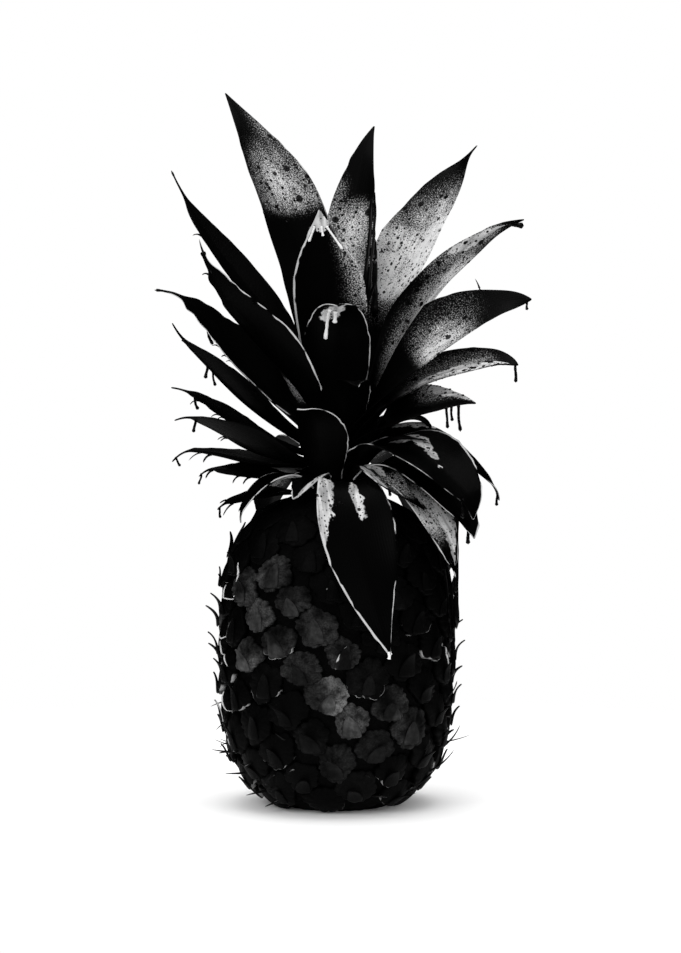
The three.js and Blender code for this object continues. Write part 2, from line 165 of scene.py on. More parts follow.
# Each tier's name, where along their length its leaves are widest, and its leaves from the outside in:
# place, azimuth, tip (distance from the axis, height), slopes at base and tip, width, and where it has
# them its roll about its own line, its swing round the axis, the curl of its tip, how soon it tapers and
# how ragged its outer half is.
TIERS = (
    ("hanging", 0.4, (
        ("front", 278, (71, 83), (50, -82), 40, dict(swing=14)),
        ("left_short", 177, (61, 153), (0, -12), 16, dict(roll=-20, swing=5, curl=2.5, taper=0.8, torn=0.9)),
        ("right", 324, (69, 118), (40, -88), 33, dict(roll=5, swing=6)),
        ("back", 96, (68, 112), (42, -78), 30, dict(swing=-8, curl=2)),
        ("left", 216, (58, 146), (54, -80), 18, dict(swing=-4, curl=2, torn=0.5)),
        ("back_right", 44, (70, 128), (45, -74), 28, dict(swing=6, curl=3)),
        ("far_right", 343, (77.5, 139), (60, -55), 48, dict(roll=16, swing=-7, curl=2)),
        ("back_left", 130, (68, 134), (46, -70), 26, dict(swing=-6, curl=3)),
        ("front_left", 242, (35, 157.5), (62, -84), 20, dict(swing=-10)),
    )),
    ("arching", 0.42, (
        ("front", 252, (44, 203), (74, -8), 28, dict(swing=-8)),
        ("front_right", 303, (63, 155), (58, -22), 22, dict(swing=12, curl=2)),
        ("left", 186, (70, 171.5), (-5, -1), 19, dict(roll=-23, swing=-5, curl=4, torn=0.9)),
        ("back", 74, (80, 160), (58, -58), 28, dict(swing=-6, curl=4)),
        ("back_right", 48, (78, 174), (56, -44), 26, dict(swing=5, curl=4)),
        ("right", 325, (90, 153), (61, -46), 45, dict(roll=13, swing=-3, curl=6, taper=0.8)),
        ("back_left", 114, (74, 168), (58, -50), 26, dict(swing=4, curl=4)),
        ("far_left", 170, (84.5, 180.5), (-1, -1), 19, dict(roll=-15, swing=5, curl=6, torn=0.9)),
        ("far_right", 360, (86.5, 157), (70, -50), 41, dict(roll=12, swing=4, curl=3.5)),
        ("front_left", 206, (86, 201), (4.5, 13.5), 30, dict(roll=15, swing=-4, curl=4, torn=0.7)),
    )),
    ("spreading", 0.46, (
        ("back_right", 20, (53, 190), (66, -60), 30, dict(curl=2)),
        ("front_right", 332, (75.5, 207.5), (57, 2), 38.5, dict(roll=31, swing=6, curl=2)),
        ("back", 92, (84, 206), (62, -24), 28, dict(curl=4)),
        ("far_back", 66, (78, 216), (66, -14), 26, dict(swing=4, curl=3)),
        ("left", 178, (83, 215), (10, 28), 21.5, dict(roll=-17, swing=1, curl=2.5, taper=0.8, torn=1.0)),
        ("right", 345, (94.5, 229), (67, 6), 30.5, dict(roll=32, swing=-1, curl=4.5, taper=0.6)),
        ("back_left", 124, (76, 222), (64, 0), 28, dict(swing=4, curl=3)),
        ("front_left", 198.5, (86.5, 243.5), (28, 40), 28.5, dict(roll=12, swing=-5, curl=-3, torn=0.5)),
        ("front", 284, (46, 214), (84, -30), 28, dict()),
    )),
    ("rising", 0.5, (
        ("right", 353.5, (99.3, 259.5), (66.5, 12), 40, dict(roll=45, swing=-2, curl=2, taper=0.85)),
        ("back", 76, (76, 246), (70, 10), 30, dict(curl=3)),
        ("left", 168.5, (89.5, 267.5), (42, 40), 39.5, dict(roll=-18, swing=5, curl=6.5, torn=1.0)),
        ("back_left", 104, (68, 264), (72, 20), 30, dict(swing=4, curl=2)),
        ("back_right", 5, (93.5, 301.5), (66.5, 34), 33.5, dict(roll=-33, swing=-4, curl=4)),
        ("front_left", 211, (78.5, 286.5), (74, 66), 30.5, dict(roll=16, swing=-3, curl=-2, torn=1.1)),
        ("front", 272, (46, 254), (82, -12), 36, dict()),
    )),
    ("tall", 0.6, (
        ("left", 154, (93.5, 325), (75, 64), 27, dict(roll=-12, swing=2.5, taper=1.75, torn=0.4)),
        ("right", 37, (88.3, 340), (72, 52), 42.5, dict(roll=10, swing=-2.5, curl=2)),
        ("front", 258, (30, 302), (86, 76), 40, dict(swing=-4)),
        ("back_left", 130.5, (77, 366), (81, 52), 42, dict(roll=-8, swing=8.5)),
        ("back", 71, (45, 349.5), (78, 59), 26.5, dict(roll=4, swing=-6, curl=2.5)),
    )),
    ("heart", 0.5, (
        ("right", 350, (20, 266), (86, 70), 20, dict()),
        ("left", 200, (20, 270), (86, 72), 18, dict()),
        ("back", 95, (16, 280), (88, 76), 14, dict()),
    )),
)

# Where the black spray missed a leaf and its pale ground shows, laid out like the light on the leaves so that
# these zones are painted highlights too: the shares along at which it starts to show, shows fully, begins to
# fade and ends, the share across (-1 to 1) of its middle, its reach across, and how much of it shows.
PALE_ZONES = {
    "tall_leaf_back_left": (
        (0.57, 0.64, 0.7, 0.92, -0.2, 1.1, 0.64),
        (0.72, 0.82, 0.88, 1.0, -0.9, 0.8, 0.34),
    ),
    "tall_leaf_back": ((0.3, 0.46, 0.66, 0.77, -0.1, 1.0, 0.75), (0.45, 0.55, 0.72, 0.85, 0.9, 0.55, 0.5)),
    "tall_leaf_right": (
        (0.42, 0.5, 0.58, 0.97, -0.7, 1.5, 1.1),
        (0.38, 0.46, 0.6, 0.78, 0.3, 1.6, 1.0),
        (0.28, 0.42, 0.48, 0.6, 0.2, 1.8, 0.3),
    ),
    "tall_leaf_front": ((0.46, 0.62, 0.84, 0.97, 1.25, 0.62, 0.85),),
    "rising_leaf_back_right": (
        (0.16, 0.3, 0.72, 0.88, 0.4, 0.78, 0.95),
        (0.52, 0.74, 0.88, 0.96, -0.5, 1.3, 0.5),
    ),
    "rising_leaf_right": ((0.4, 0.53, 0.6, 0.84, -0.6, 0.95, 0.88), (0.45, 0.6, 0.74, 0.88, 0.0, 1.6, 0.22)),
    "rising_leaf_back": ((0.3, 0.5, 0.65, 0.85, 0.1, 1.0, 0.75),),
    "rising_leaf_back_left": ((0.4, 0.55, 0.7, 0.9, 0.3, 0.9, 0.7),),
    "spreading_leaf_right": ((0.3, 0.55, 0.82, 0.96, -0.4, 1.1, 0.55),),
    "spreading_leaf_front_right": ((0.45, 0.7, 1.0, 1.1, 1.2, 0.9, 0.8),),
    "spreading_leaf_far_back": ((0.35, 0.5, 0.7, 0.9, 0.0, 1.0, 0.7),),
    "spreading_leaf_back_left": ((0.3, 0.42, 0.52, 0.7, -0.2, 0.9, 0.7),),
    "arching_leaf_front_right": ((0.4, 0.55, 0.75, 0.95, 0.3, 1.1, 0.55),),
    "arching_leaf_back": ((0.3, 0.45, 0.6, 0.8, 0.1, 0.9, 0.7),),
    "hanging_leaf_right": ((0.1, 0.25, 0.55, 0.85, -0.5, 1.5, 0.95),),
    "hanging_leaf_back": ((0.35, 0.48, 0.62, 0.8, 0.0, 1.0, 0.75),),
    "hanging_leaf_back_left": ((0.25, 0.38, 0.5, 0.7, 0.2, 0.7, 0.7),),
}

# Patches of pale paint with a hard edge, some bared by wiping and some painted highlights, such as the
# crescent along arching_leaf_right and the sheen on hanging_leaf_front: the shares along between which they
# lie, the shares across of their middle line at either end, and their reach across at their widest.
PALE_PATCHES = {
    "tall_leaf_front": ((0.9, 1.2, 0.0, 0.0, 1.6),),
    "rising_leaf_front": ((0.7, 0.94, -0.5, 0.2, 0.5), (0.84, 0.95, -0.4, 0.9, 0.5)),
    "arching_leaf_right": ((0.1, 0.64, 1.05, 0.0, 0.17), (0.17, 0.34, 0.75, 0.35, 0.26)),
    "arching_leaf_front_right": ((0.08, 0.52, 0.3, 0.1, 0.35), (0.3, 0.66, -0.6, -0.8, 0.4)),
    "arching_leaf_far_right": ((0.2, 0.5, 1.0, 1.0, 0.3),),
    "hanging_leaf_front": ((0.02, 0.5, -0.75, -1.0, 0.4), (0.12, 0.42, 0.1, 0.3, 0.17)),
    "hanging_leaf_right": ((0.42, 0.92, 0.75, 0.35, 0.42),),
    "hanging_leaf_front_left": ((0.3, 0.9, 0.9, 0.7, 0.4),),
    "hanging_leaf_left": ((0.2, 0.5, 0.9, 0.6, 0.4),),
    "spreading_leaf_right": ((0.48, 0.97, -0.35, -0.6, 0.42),),
    "spreading_leaf_front_right": ((0.62, 0.97, 0.95, 0.55, 0.42),),
    "rising_leaf_back_right": ((0.72, 0.94, -0.8, -0.4, 0.42), (0.26, 0.66, 0.4, 0.25, 0.28)),
}

# Painted highlights along a leaf's two margins, laid as lacquer rubbed back from them: how far in they reach,
# in millimetres.
RIM_HIGHLIGHTS = {
    "tall_leaf_front": (1.7, 0.0),
    "tall_leaf_back_left": (0.3, 0.0),
    "rising_leaf_front": (0.6, 0.7),
    "rising_leaf_left": (0.0, 0.7),
    "rising_leaf_front_left": (0.1, 0.8),
    "spreading_leaf_front": (0.0, 0.5),
    "spreading_leaf_back": (0.8, 0.6),
    "arching_leaf_front": (0.0, 0.55),
    "arching_leaf_right": (0.2, 0.8),
    "arching_leaf_far_right": (0.3, 0.8),
    "arching_leaf_back_left": (0.7, 0.8),
    "hanging_leaf_front": (1.25, 0.5),
    "hanging_leaf_right": (0.9, 0.6),
    "hanging_leaf_left": (0.6, 1.0),
    "hanging_leaf_front_left": (0.9, 1.0),
    "hanging_leaf_far_right": (0.5, 0.9),
    "hanging_leaf_back": (0.9, 0.4),
}

# Runs of lacquer that hang from a leaf: share along, share across, length, drift to its right and radius.
HANGING_RUNS = (
    ("spreading_leaf_front_right", 0.82, -0.85, 11, 1.0, 0.7),
    ("spreading_leaf_front_right", 0.85, -0.85, 8, 0.2, 0.65),
    ("spreading_leaf_front_right", 0.895, -0.85, 14, 0.8, 0.75),
    ("rising_leaf_back_right", 0.95, 0.0, 1.5, 7.0, 1.3),
    ("rising_leaf_right", 0.98, 0.0, 6, 0.2, 0.6),
    ("spreading_leaf_right", 0.985, 0.0, 10, 0.5, 0.75),
    ("arching_leaf_right", 0.9, -0.6, 10, 0.0, 0.8),
    ("arching_leaf_far_right", 0.96, 0.0, 7, -0.6, 0.7),
    ("hanging_leaf_right", 0.98, 0.0, 9, 0.0, 0.8),
    ("hanging_leaf_far_right", 0.68, -0.1, 37, 0.5, 1.4),
    ("hanging_leaf_far_right", 0.76, -0.1, 62, 0.4, 1.25),
    ("hanging_leaf_far_right", 0.88, 0.0, 12, 0.0, 0.9),
    ("rising_leaf_left", 0.7, 0.5, 8, 2.2, 0.8),
    ("spreading_leaf_left", 0.84, 0.35, 7, 1.6, 0.75),
    ("spreading_leaf_front_left", 0.72, -0.5, 7, -1.5, 0.8),
    ("spreading_leaf_front_left", 0.68, -0.5, 8, 1.0, 0.6),
    ("arching_leaf_front_left", 0.86, -0.4, 7, -1.5, 0.7),
    ("arching_leaf_left", 0.975, 0.0, 6, -1.5, 0.55),
    ("arching_leaf_far_left", 0.97, 0.0, 5, 2.5, 0.6),
    ("hanging_leaf_left_short", 0.97, 0.0, 6, 0.5, 0.6),
    ("arching_leaf_back", 0.97, 0.0, 8, 0.4, 0.7),
    ("spreading_leaf_back", 0.97, 0.0, 6, -0.4, 0.7),
)

# Runs of lacquer along a leaf: the points they pass, as shares along and across, their radius and how far
# their middle stands off the leaf's, which is outwards where it is positive and inwards where it is negative.
LEAF_RUNS = (
    ("tall_leaf_back", ((0.78, -0.9), (0.66, -0.92), (0.54, -0.95), (0.4, -0.95)), 2.1, 0.8),
    ("tall_leaf_back", ((0.74, -0.66), (0.62, -0.62), (0.48, -0.62)), 0.9, 0.8),
    ("tall_leaf_right", ((0.6, 0.98), (0.52, 0.7), (0.42, 0.3), (0.36, 0.1)), 1.7, -2.4),
    ("hanging_leaf_front", ((0.14, -0.82), (0.28, -0.84), (0.42, -0.86)), 0.8, 0.8),
    ("hanging_leaf_front", ((0.14, -0.66), (0.24, -0.66), (0.34, -0.68)), 0.55, 0.8),
    ("hanging_leaf_front", ((0.12, 0.2), (0.22, 0.22), (0.34, 0.24)), 0.6, 0.8),
    ("hanging_leaf_front", ((0.88, 0.1), (0.93, 0.05), (0.965, 0.0)), 0.85, 0.9),
    ("rising_leaf_left", ((0.92, 0.0), (0.96, 0.0), (0.995, 0.0)), 0.9, 0.0),
    ("rising_leaf_front_left", ((0.85, 0.0), (0.9, 0.0), (0.95, 0.0)), 1.1, 0.0),
    ("spreading_leaf_front_left", ((0.85, 0.0), (0.88, 0.0), (0.91, 0.0)), 1.2, 0.0),
    ("tall_leaf_left", ((0.92, 0.0), (0.96, 0.0), (0.995, 0.0)), 0.7, 0.0),
)

# Runs of pale paint along a leaf: the points they pass, as shares along and across, and their radius.
PALE_RUNS = (
    ("rising_leaf_front", ((0.82, -0.42), (0.74, -0.38), (0.66, -0.34), (0.58, -0.34)), 0.9),
    ("rising_leaf_front", ((0.8, -0.12), (0.75, -0.1), (0.7, -0.1)), 1.0),
    ("hanging_leaf_front", ((0.9, -0.4), (0.94, -0.2), (0.975, 0.0), (1.0, 0.0)), 0.9),
    ("tall_leaf_front", ((0.93, -0.6), (0.9, -0.66), (0.86, -0.72)), 0.7),
    ("tall_leaf_front", ((0.93, 0.1), (0.9, 0.1), (0.885, 0.1)), 0.6),
    ("tall_leaf_front", ((0.93, 0.6), (0.88, 0.72), (0.82, 0.8)), 0.8),
)

# The run of pale paint that hangs from a leaf, in the same figures as HANGING_RUNS.
PALE_THREAD = ("hanging_leaf_front", 0.985, 0.0, 4, 0.2, 0.75)

# Drops of lacquer spattered on the leaves: the shares along and across between which they fell, how many
# and their largest radius.
DROPS = (
    ("tall_leaf_back_left", 0.5, 0.9, -0.9, 0.9, 22, 1.6),
    ("tall_leaf_back", 0.3, 0.75, -0.8, 0.8, 16, 1.1),
    ("tall_leaf_right", 0.35, 0.85, -0.9, 0.9, 36, 1.7),
    ("rising_leaf_back_right", 0.35, 0.95, -0.8, 0.95, 44, 1.4),
    ("rising_leaf_right", 0.4, 0.85, -0.8, 0.6, 26, 1.1),
    ("rising_leaf_back", 0.3, 0.8, -0.8, 0.8, 16, 1.4),
    ("spreading_leaf_right", 0.4, 0.97, -0.98, 0.5, 50, 1.5),
    ("spreading_leaf_right", 0.6, 0.94, -0.8, -0.2, 30, 1.8),
    ("spreading_leaf_front_right", 0.5, 0.97, -0.2, 1.0, 24, 1.3),
    ("spreading_leaf_far_back", 0.3, 0.9, -0.8, 0.8, 14, 1.3),
    ("arching_leaf_front_right", 0.35, 0.9, -0.8, 0.8, 18, 1.5),
    ("hanging_leaf_right", 0.25, 0.9, -0.9, 0.9, 34, 1.9),
    ("hanging_leaf_front", 0.1, 0.4, -0.9, 0.4, 10, 1.0),
    ("hanging_leaf_back", 0.3, 0.85, -0.8, 0.8, 16, 1.5),
)

# Runs of lacquer down the side of the fruit: azimuth, height at the top and at the bottom.
SIDE_RUNS = ((352, 134, 66), (343, 128, 84), (300, 140, 122), (270, 142, 128), (24, 120, 74), (150, 128, 96))

# Thin lines where the paint has chipped off the eyes: azimuths and heights they pass.
CHIPPED_LINES = (
    ((190, 115), (197, 107), (206, 107), (213, 110)),
    ((209, 126), (211, 121), (210, 116)),
    ((188, 87), (194, 86), (200, 88)),
    ((192, 85), (196, 78), (205, 73)),
    ((184, 71), (194, 67), (202, 60)),
    ((190, 60), (195, 54), (203, 49)),
    ((188, 38), (198, 34), (206, 27)),
    ((345, 84), (340, 79), (341, 72)),
    ((30, 62), (36, 55), (35, 48)),
    ((120, 74), (127, 68), (129, 60)),
    ((150, 102), (156, 97), (164, 96)),
)


# ---- small helpers ----


def linear(colour):
    """An sRGB hex colour as linear RGBA."""
    channels = [int(colour[i : i + 2], 16) / 255 for i in (1, 3, 5)]
    return [c / 12.92 if c <= 0.04045 else ((c + 0.055) / 1.055) ** 2.4 for c in channels] + [1.0]


def mix(a, b, share):
    return a + (b - a) * share


def smooth(x):
    """Eases from 0 at 0 to 1 at 1."""
    x = min(1.0, max(0.0, x))
    return x * x * (3 - 2 * x)


def turned(azimuth):
    """The level direction at an azimuth in radians."""
    return Vector((math.cos(azimuth), math.sin(azimuth), 0))


def along_stops(stops, share):
    """Each coordinate at a share of the way along a row of stops, which are evenly spaced."""
    places = np.linspace(0, 1, len(stops))
    return [float(np.interp(share, places, coordinate)) for coordinate in zip(*stops)]


def lay(bm, across, along, place):
    """Lays a grid of faces in bm, each vertex where place(x, y) says, and returns it as (vertex, x, y).

    x and y run from 0 to 1. The faces point along the cross product of the x and y directions."""
    made = bmesh.ops.create_grid(bm, x_segments=across, y_segments=along, size=0.5)["verts"]
    spots = [(v, v.co.x + 0.5, v.co.y + 0.5) for v in made]
    for v, x, y in spots:
        v.co = place(x, y)
    return spots


def lay_tube(bm, points, radii, flatness=1.0, sides=8):
    """Lays a round or flattened tube along points, which closes where its radius is 0."""
    count = len(points) - 1
    ahead = [(points[min(i + 1, count)] - points[max(i - 1, 0)]).normalized() for i in range(count + 1)]
    steep = Vector((0, 1, 0))  # stands in for UP where the tube is nearly upright
    beside = [a.cross(UP if abs(a.z) < 0.9 else steep).normalized() for a in ahead]

    def place(x, y):
        i = round(y * count)
        angle = FULL_TURN * x
        over = ahead[i].cross(beside[i]) * flatness
        return points[i] + (beside[i] * math.cos(angle) + over * math.sin(angle)) * radii[i]

    return lay(bm, sides, count, place)


def spun(profile, steps, unit=1.0):
    """Spins a profile of (radius, height) points in this unit round the axis, into a new bm."""
    bm = bmesh.new()
    line = [bm.verts.new((radius * unit, 0, height * unit)) for radius, height in profile]
    edges = [bm.edges.new(pair) for pair in zip(line, line[1:])]
    bmesh.ops.spin(bm, geom=line + edges, cent=(0, 0, 0), axis=(0, 0, 1), angle=FULL_TURN, steps=steps,
                   use_merge=True)
    bmesh.ops.remove_doubles(bm, verts=bm.verts, dist=0.01 * unit)
    return bm


def layers(bm, vector, *numbers):
    """Adds attributes to bm's vertices: one that holds a vector and others that hold a number."""
    return [bm.verts.layers.float_vector.new(vector)] + [bm.verts.layers.float.new(name) for name in numbers]


def placed(name, data):
    """A new object with this data, in the scene."""
    made = bpy.data.objects.new(name, data)
    bpy.context.scene.collection.objects.link(made)
    return made


def surfaced(bm, name, material):
    """Turns bm into an object of one material."""
    mesh = bpy.data.meshes.new(name)
    bm.to_mesh(mesh)
    bm.free()
    mesh.materials.append(material)
    return placed(name, mesh)


def finished(bm, name, material, replaces=(), merge=0.01 * MM):
    """Turns bm into a smooth piece of the fruit, with its doubles merged."""
    bmesh.ops.remove_doubles(bm, verts=bm.verts, dist=merge)
    piece = surfaced(bm, name, material)
    piece.data.polygons.foreach_set("use_smooth", [True] * len(piece.data.polygons))
    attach(piece, "root")
    if replaces:
        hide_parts(*replaces)
    return piece


def thickened(piece, thickness):
    """Gives a surface a thickness in millimetres, half to either side, and rounds it once."""
    shell = piece.modifiers.new("Thickness", "SOLIDIFY")
    shell.thickness = thickness * MM
    shell.offset = 0
    rounding = piece.modifiers.new("Subdivision", "SUBSURF")
    rounding.levels = 1
    rounding.render_levels = 1
    return shell


# ---- materials ----

BLACK = "#020202"  # black lacquer
DULLED = 0.03  # specular level of lacquer that dust has dulled
DRY = 0.2  # specular level of dry fibre
FLAT = dict(noise_dimensions="2D")  # a leaf's patterns lie across it and along it
BANDS = FULL_TURN / 20  # scale of a wave texture whose bands are one metre apart


def node(tree, kind, inputs=None, **settings):
    """Adds a shader node. inputs gives each socket a value, another node's output, or a node, which stands
    for its first output. A Mix node takes colours at its sockets 6 and 7, and gives one at its output 2."""
    made = tree.nodes.new("ShaderNode" + kind)
    for name, value in settings.items():
        setattr(made, name, value)
    for place, value in (inputs or {}).items():
        if isinstance(value, bpy.types.Node):
            value = value.outputs[0]
        if isinstance(value, bpy.types.NodeSocket):
            tree.links.new(value, made.inputs[place])
        else:
            made.inputs[place].default_value = value
    return made


def new_material(name):
    """A new material with no nodes, and its tree."""
    material = bpy.data.materials.new(name)
    material.use_nodes = True
    material.node_tree.nodes.clear()
    return material, material.node_tree


def ended(material, colour, roughness, specular, relief):
    """Ends a material in one surface, whose colour a Mix node gives and whose relief a Bump node gives."""
    shader = node(material.node_tree, "BsdfPrincipled", {
        "Base Color": colour.outputs[2],
        "Roughness": roughness,
        "Specular IOR Level": specular,
        "Normal": relief,
    })
    node(material.node_tree, "OutputMaterial", {"Surface": shader})
    return material


def faded_pale_zones(tree, blade, streaks, droplets):
    """How much of a leaf's pale ground shows where the spray fades out, which stands as painted highlight
    too, in clouds 14 mm across and in streaks.
    """
    # pale zones: the pale ground where the spray missed, which is painted highlight too
    spray = node(tree, "Attribute", attribute_name="spray").outputs["Fac"]
    clouds = node(tree, "TexNoise", {"Vector": blade, "Scale": 1 / (14 * MM), "Detail": 3.0}, **FLAT)
    patchy = node(tree, "Math", {0: clouds, 1: 1.0, 2: 0.15}, operation="MULTIPLY_ADD")
    patchy = node(tree, "Math", {0: streaks, 1: 0.7, 2: patchy}, operation="MULTIPLY_ADD")
    shown = node(tree, "Math", {0: spray, 1: patchy}, operation="MULTIPLY")
    grain = node(tree, "Math", {0: droplets, 1: 1.5, 2: -0.75}, operation="MULTIPLY_ADD")
    dotted = node(tree, "Math", {0: shown, 1: grain}, operation="ADD")
    reached = node(tree, "MapRange", {"Value": spray, "From Min": 0.04, "From Max": 0.25})
    patch = node(tree, "MapRange", {"Value": dotted, "From Min": 0.18, "From Max": 0.95})
    patch = node(tree, "Math", {0: patch, 1: reached}, operation="MULTIPLY")
    return node(tree, "Math", {0: patch, 1: 1.5}, operation="POWER")


def hard_edged_pale(tree, blade, streaks):
    """How much of a leaf's pale ground shows in its hard-edged patches, some bared by wiping and some painted
    highlights, with a wavy hard edge and washed streaks.
    """
    bared = node(tree, "Attribute", attribute_name="bared").outputs["Fac"]
    wavy = node(tree, "TexNoise", {"Vector": blade, "Scale": 1 / (4 * MM), "Detail": 2.0}, **FLAT)
    patch_edge = node(tree, "Math", {0: wavy, 1: 0.6, 2: -0.3}, operation="MULTIPLY_ADD")
    patch_edge = node(tree, "Math", {0: patch_edge, 1: bared}, operation="ADD")
    washed = node(tree, "MapRange", {"Value": streaks, "From Min": 0.36, "From Max": 0.6,
                                     "To Min": 0.5, "To Max": 0.95})
    return node(tree, "MapRange", {"Value": patch_edge, "From Min": 0.5, "From Max": 0.58, "To Max": washed})


def spattered(tree, blade, pale):
    """Darkens what is pale with spattered specks, which are up to 3 mm, 1.8 mm and 1 mm across."""
    for spacing, most, rarity in ((9.0, 0.2, 3.6), (3.6, 0.25, 1.7), (1.9, 0.27, 2.0)):
        cells = node(tree, "TexVoronoi", {"Vector": blade, "Scale": 1 / (spacing * MM)},
                     voronoi_dimensions="2D")
        draw = node(tree, "SeparateColor", {0: cells.outputs["Color"]})
        reach = node(tree, "Math", {0: draw, 1: rarity}, operation="POWER")
        reach = node(tree, "Math", {0: reach, 1: most}, operation="MULTIPLY")
        outside = node(tree, "Math", {0: cells, 1: reach}, operation="SUBTRACT")
        clear = node(tree, "MapRange", {"Value": outside, "From Max": 0.04, "To Min": 0.06})
        pale = node(tree, "Math", {0: pale, 1: clear}, operation="MULTIPLY")
    return pale


def highlit_margins(tree, blade):
    """Painted highlights along a leaf's margins, laid as lacquer rubbed back from them, in lines that break
    up where they are narrow.
    """
    rim = node(tree, "Attribute", attribute_name="rim").outputs["Fac"]
    edge = node(tree, "Attribute", attribute_name="edge").outputs["Fac"]
    breaks = node(tree, "TexNoise", {"Vector": blade, "Scale": 1 / (11 * MM), "Detail": 2.0}, **FLAT)
    worn = node(tree, "Math", {0: breaks, 1: 4.6, 2: -2.1}, operation="MULTIPLY_ADD")
    worn = node(tree, "Math", {0: rim, 1: 0.45, 2: worn}, operation="MULTIPLY_ADD", use_clamp=True)
    worn = node(tree, "Math", {0: worn, 1: rim}, operation="MULTIPLY")
    beyond = node(tree, "Math", {0: worn, 1: edge}, operation="SUBTRACT")
    return node(tree, "MapRange", {"Value": beyond, "From Max": 0.25, "To Max": 0.86})


def lacquered_leaf():
    """Fibrous pineapple leaf, primed pale grey, then given black acrylic lacquer with a spray.

    Where the spray fades out its fine droplets leave the grey ground showing, with larger black specks
    spattered over it. The lacquer is satin over the leaf's ribs, has come off by wiping in a few hard-edged
    patches, and has rubbed back from some margins. These pale zones, patches and margin lines are laid out
    like the light on the leaf, so they are painted highlights as well as bare ground."""
    material, tree = new_material("acrylic_lacquer_on_leaf")
    blade = node(tree, "Attribute", attribute_name="blade").outputs["Vector"]

    # streaks 3 mm wide and 18 mm long, down the leaf
    lengthwise = node(tree, "VectorMath", {0: blade, 1: (1 / (3 * MM), 1 / (18 * MM), 0)},
                      operation="MULTIPLY")
    streaks = node(tree, "TexNoise", {"Vector": lengthwise, "Scale": 1.0, "Detail": 2.0}, **FLAT)
    # sprayed droplets are 0.1 to 0.4 mm across, drawn at 0.7 mm so that they show
    droplets = node(tree, "TexNoise", {"Vector": blade, "Scale": 1 / (0.7 * MM), "Detail": 1.0}, **FLAT)

    faded = faded_pale_zones(tree, blade, streaks, droplets)
    # hard-edged pale patches, some bared by wiping and some painted highlights
    pale = node(tree, "Math", {0: faded, 1: hard_edged_pale(tree, blade, streaks)}, operation="MAXIMUM")
    pale = spattered(tree, blade, pale)
    # adds the painted highlights along the margins
    pale = node(tree, "Math", {0: pale, 1: highlit_margins(tree, blade)}, operation="MAXIMUM")

    ground = node(tree, "TexNoise", {"Vector": blade, "Scale": 1 / (5 * MM), "Detail": 4.0}, **FLAT)
    # the pale ground, which is also the colour of the painted highlights
    pale_and_highlight = node(tree, "Mix", {0: ground, 6: linear("#a2a2a3"), 7: linear("#dadada")}, data_type="RGBA")
    colour = node(tree, "Mix", {0: pale, 6: linear(BLACK), 7: pale_and_highlight.outputs[2]}, data_type="RGBA")

    # ribs 1.4 mm apart along the leaf, under the paint
    ribs = node(tree, "TexWave", {"Vector": blade, "Scale": BANDS / (1.4 * MM), "Distortion": 0.6,
                                  "Detail": 1.0}, bands_direction="X")
    ridged = node(tree, "Bump", {"Strength": 0.25, "Distance": 0.1 * MM, "Height": ribs.outputs["Fac"]})
    peel = node(tree, "Bump", {"Strength": 0.2, "Distance": 0.1 * MM, "Height": droplets, "Normal": ridged})
    satin = node(tree, "MapRange", {"Value": pale, "To Min": 0.42, "To Max": 0.62})
    return ended(material, colour, satin, DULLED, peel)


def drifted_over(tree, shown, start, least):
    """Covers what shows with later black overspray, which drifts over the fruit in clouds 20 mm across."""
    spot = node(tree, "TexCoord").outputs["Object"]
    drift = node(tree, "TexNoise", {"Vector": spot, "Scale": 1 / (20 * MM), "Detail": 3.0})
    open_to = node(tree, "MapRange", {"Value": drift, "From Min": start, "From Max": start + 0.16,
                                      "To Min": least})
    return node(tree, "Math", {0: shown, 1: open_to}, operation="MULTIPLY")


